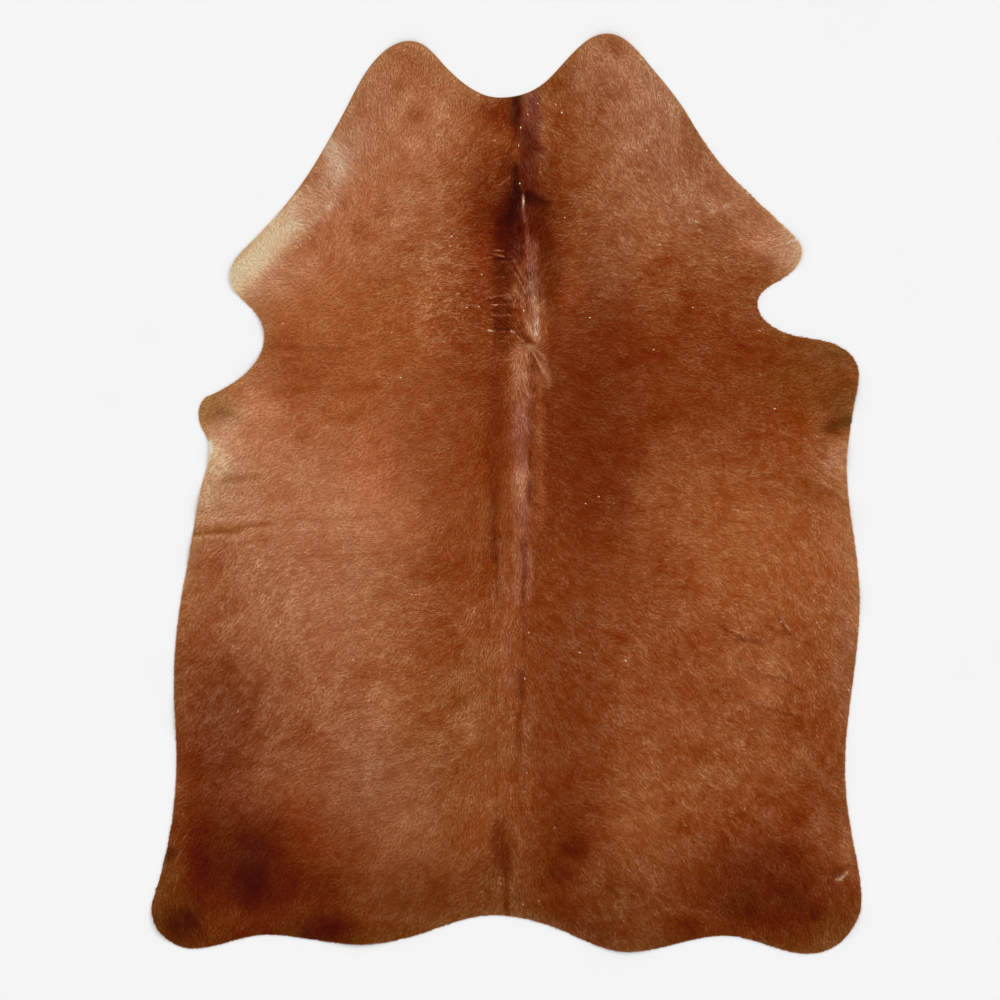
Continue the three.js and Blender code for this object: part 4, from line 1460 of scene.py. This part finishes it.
def build_skin(points, out, edge, shaded_undercoat, suede):
    """The hide as one closed sheet: the same triangles above and below, with a rounded edge between them."""
    widest = max(outward for outward, _ in EDGE_ROUND)
    rim = points - out * widest
    flat, faces, rim_now = plan_skin(rim, points, edge)
    low = skin_under(*flat.T)
    layers = [np.column_stack([flat, low + LEATHER])]
    loops = [rim_now]
    count = len(flat)
    for outward, share in EDGE_ROUND[1:-1]:
        z = skin_under(*rim.T) + share * LEATHER
        layers.append(np.column_stack([rim + out * outward, z]))
        loops.append(count + np.arange(len(rim)))
        count += len(rim)
    layers.append(np.column_stack([flat, low]))
    loops.append(count + rim_now)
    all_points = np.concatenate(layers)
    all_faces = np.concatenate([faces, faces[:, ::-1] + count, *round_edge(loops)])
    skin = add_mesh("hide_skin", all_points, all_faces, shaded_undercoat)
    skin.data.materials.append(suede)
    slots = np.ones(len(all_faces), np.int32)
    slots[: len(faces)] = 0
    skin.data.polygons.foreach_set("material_index", slots)
    skin.data.polygons.foreach_set("use_smooth", np.ones(len(all_faces), bool))
    # The skin's top takes the coat's colour, darkened as painted shade between the locks
    paint(skin, albedo(to_linear(tone_at(*all_points[:, :2].T, edge)) * UNDERCOAT_PAINTED_SHADE))
    unwrap(skin, place_side_by_side(all_points, len(flat)))
    return skin


# The coat

def lock_length(x, y):
    """The hair is longest on the back line's ridge."""
    ridge = np.clip(back_line_rise(x, y) / BACK_LINE_FULL, 0, 1)
    return LOCK_LENGTH + (BACK_LOCK_LENGTH - LOCK_LENGTH) * ridge


def lay_locks(points, edge, rng):
    """Each lock's root, middle and tip seen from above, and how much lighter it is, in sRGB steps."""
    pitch = TUFT_PITCH
    tufts = jittered_grid(points.min(0), points.max(0), pitch, rng)
    tufts = tufts[edge(*tufts.T) < TUFT_OVERHANG]
    tuft_way = growth(*tufts.T)
    tuft_light = streaks(*tufts.T) + TUFT_UNEVEN * rng.standard_normal(len(tufts))
    tuft_long = lock_length(*tufts.T)
    tuft_tip = tufts + tuft_way * tuft_long[:, None]

    tuft = np.repeat(np.arange(len(tufts)), LOCKS_IN_TUFT)
    root = tufts[tuft] + rng.uniform(-LOCK_SPREAD, LOCK_SPREAD, (len(tuft), 2)) * pitch
    keep = edge(*root.T) < -LOCK_INSET
    tuft, root = tuft[keep], root[keep]
    many = len(tuft)
    way = turned(tuft_way[tuft], np.radians(rng.normal(0, LOCK_TURN, many)))
    tip = root + way * (tuft_long[tuft] * rng.uniform(*LOCK_LENGTH_SHARE, many))[:, None]
    tip += (tuft_tip[tuft] - tip) * rng.uniform(*LOCK_GATHER, many)[:, None]
    start, end = edge(*root.T), edge(*tip.T)
    crossing = (LOCK_OVERHANG - start) / np.maximum(end - start, LEAST_CROSSING)
    short = np.where(end > LOCK_OVERHANG, crossing, 1)
    tip = root + (tip - root) * np.clip(short, LOCK_SHORTEST, 1)[:, None]

    middle = root + (tip - root) * rng.uniform(*LOCK_BEND_AT, many)[:, None]
    middle += sideways(unit(tip - root)) * rng.normal(0, LOCK_BEND_ASIDE, many)[:, None]
    return root, middle, tip, tuft_light[tuft]


def lock_corners(root, middle, tip, edge, rng):
    """Each lock as a blade of four corners: root, one side, tip, other side."""
    many = len(root)
    aside = sideways(unit(tip - root))
    roll = np.radians(rng.normal(0, LOCK_ROLL, many))
    half = 0.5 * LOCK_WIDTH * rng.uniform(*LOCK_WIDTH_SHARE, many)

    def height(at, share):
        thin = smoothstep(-edge(*at.T) / THIN_EDGE + THIN_EDGE_SHARE)
        return skin_under(*at.T) + LEATHER + coat_depth(*at.T) * thin * rng.uniform(*share, many)

    root_z = skin_under(*root.T) + LEATHER - LOCK_ROOT_SUNK
    middle_z = height(middle, LOCK_BEND_HEIGHT)
    tip_z = height(tip, LOCK_TIP_HEIGHT)

    def corner(side):
        flat = middle + aside * (side * half * np.cos(roll))[:, None]
        return np.column_stack([flat, middle_z + side * half * np.sin(roll)])

    return np.stack(
        [np.column_stack([root, root_z]), corner(-1), np.column_stack([tip, tip_z]), corner(1)], 1
    )


def lock_colours(root, middle, tip, light, edge, rng):
    """A linear colour for each of the locks' four corners, darker at the root as painted shade and lighter
    at the tip as painted light.
    """
    # Each lock's own unevenness, with its pale locks, is partly painted glints
    uneven = light + LOCK_UNEVEN * rng.standard_normal(len(root))
    for share, by in (PALE_AND_GLINT_LOCKS, DARK_LOCKS):
        uneven += np.where(rng.random(len(root)) < share, by, 0)
    parts = []
    for spot, shade in zip((root, middle, tip), LOCK_PAINTED_SHADING):
        tone = tone_at(*spot.T, edge)
        shown = grain(*spot.T, tone)
        by = clouds(*spot.T) * (LEAST_CLOUD + (1 - LEAST_CLOUD) * shown) + uneven * shown
        tone += by[:, None] * np.array(UNEVEN)
        parts.append(albedo(to_linear(np.clip(tone, *TONE_RANGE))) * shade)
    return np.stack([parts[0], parts[1], parts[2], parts[1]], 1)


def fleck_locks():
    """Tiny pale tufts on top of the coat, as corners and colours of short blades."""
    px, py = np.array([spot for spots in FLECKS.values() for spot in spots], float).T
    tones = [TONES[tone] for tone, spots in FLECKS.items() for _ in spots]
    at = np.stack([(px - MIDDLE[0]) * PIXEL, (MIDDLE[1] - py) * PIXEL], 1)
    way = growth(*at.T)
    aside = sideways(way) * FLECK_HALF_WIDTH
    top = skin_under(*at.T) + LEATHER + coat_depth(*at.T)
    ends = (at - way * FLECK_LENGTH / 2, at + aside, at + way * FLECK_LENGTH / 2, at - aside)
    corners = np.stack([np.column_stack([end, top]) for end in ends], 1)
    return corners, np.repeat(albedo(to_linear(tones))[:, None], 4, 1)


def build_coat(points, edge, hair):
    """Locks of hair in tufts, each a blade bent over its middle, in strips from the left to the right."""
    rng = np.random.default_rng(COAT_SEED)
    root, middle, tip, light = lay_locks(points, edge, rng)
    corners = lock_corners(root, middle, tip, edge, rng)
    colours = lock_colours(root, middle, tip, light, edge, rng)
    more_corners, more_colours = fleck_locks()
    corners, colours = np.concatenate([corners, more_corners]), np.concatenate([colours, more_colours])

    order = np.argsort(corners[:, 1, 0], kind="stable")
    pieces = []
    for name, group in zip(STRIPS, np.array_split(order, len(STRIPS))):
        verts = corners[group].reshape(-1, 3)
        first = 4 * np.arange(len(group))[:, None]
        faces = np.concatenate([first + (0, 1, 3), first + (1, 2, 3)])
        strip = add_mesh(name, verts, faces, hair)
        paint(strip, colours[group].reshape(-1, 3))
        low, high = verts[:, :2].min(0), verts[:, :2].max(0)
        unwrap(strip, (verts[:, :2] - low) / (high - low))
        pieces.append(strip)
    return pieces


# Camera, floor and light

def add_camera():
    """A long lens straight above, which frames the rug as the photo does."""
    camera = bpy.data.objects.new("camera", bpy.data.cameras.new("camera"))
    camera.data.lens = LENS
    camera.data.sensor_width = SENSOR
    camera.data.clip_end = VIEW_REACH
    camera.location = (*VIEW_MIDDLE, VIEW_WIDTH * LENS / SENSOR)
    bpy.context.collection.objects.link(camera)
    bpy.context.scene.camera = camera


def add_floor():
    """A wide studio floor."""
    corners = [(-FLOOR_HALF, -FLOOR_HALF, 0), (FLOOR_HALF, -FLOOR_HALF, 0)]
    corners += [(FLOOR_HALF, FLOOR_HALF, 0), (-FLOOR_HALF, FLOOR_HALF, 0)]
    mesh = bpy.data.meshes.new("floor")
    mesh.from_pydata(corners, [], [(0, 1, 2, 3)])
    mesh.materials.append(floor_material())
    floor = bpy.data.objects.new("floor", mesh)
    bpy.context.collection.objects.link(floor)


def add_light():
    """Even studio light from all round, with a broad soft source high on the neck's right."""
    world = bpy.data.worlds.new("studio")
    world.use_nodes = True
    background = world.node_tree.nodes["Background"]
    background.inputs["Color"].default_value = (1.0, 1.0, 1.0, 1)
    background.inputs["Strength"].default_value = STUDIO_STRENGTH
    bpy.context.scene.world = world
    source = bpy.data.objects.new("soft_source", bpy.data.lights.new("soft_source", "SUN"))
    source.data.energy = SOFT_SOURCE_STRENGTH
    source.data.angle = math.radians(SOFT_SOURCE_SPREAD)
    source.rotation_euler = (*(math.radians(turn) for turn in SOFT_SOURCE_TURN), 0)
    bpy.context.collection.objects.link(source)
    bpy.context.scene.view_settings.view_transform = "Standard"


add_camera()
edge_points, edge_out = outline_points(EDGE_STEPS)
box_low, box_high = (np.array(corner[:2]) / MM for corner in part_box("hide"))
shift = (box_low + box_high) / 2 - (edge_points.min(0) + edge_points.max(0)) / 2
edge_field = EdgeField(edge_points, edge_out)
hair_coat = hair_material("coat_hair", HAIR_SHADE)
shaded_under_hair = hair_material("shaded_undercoat", UNDERCOAT_HAIR_SHADE)
skin = build_skin(edge_points, edge_out, edge_field, shaded_under_hair, suede_material())
strips = build_coat(edge_points, edge_field, hair_coat)
for piece in (skin, *strips):
    piece.location = (*(shift * MM), 0)
    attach(piece, "root")
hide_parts("hide")
add_floor()
add_light()
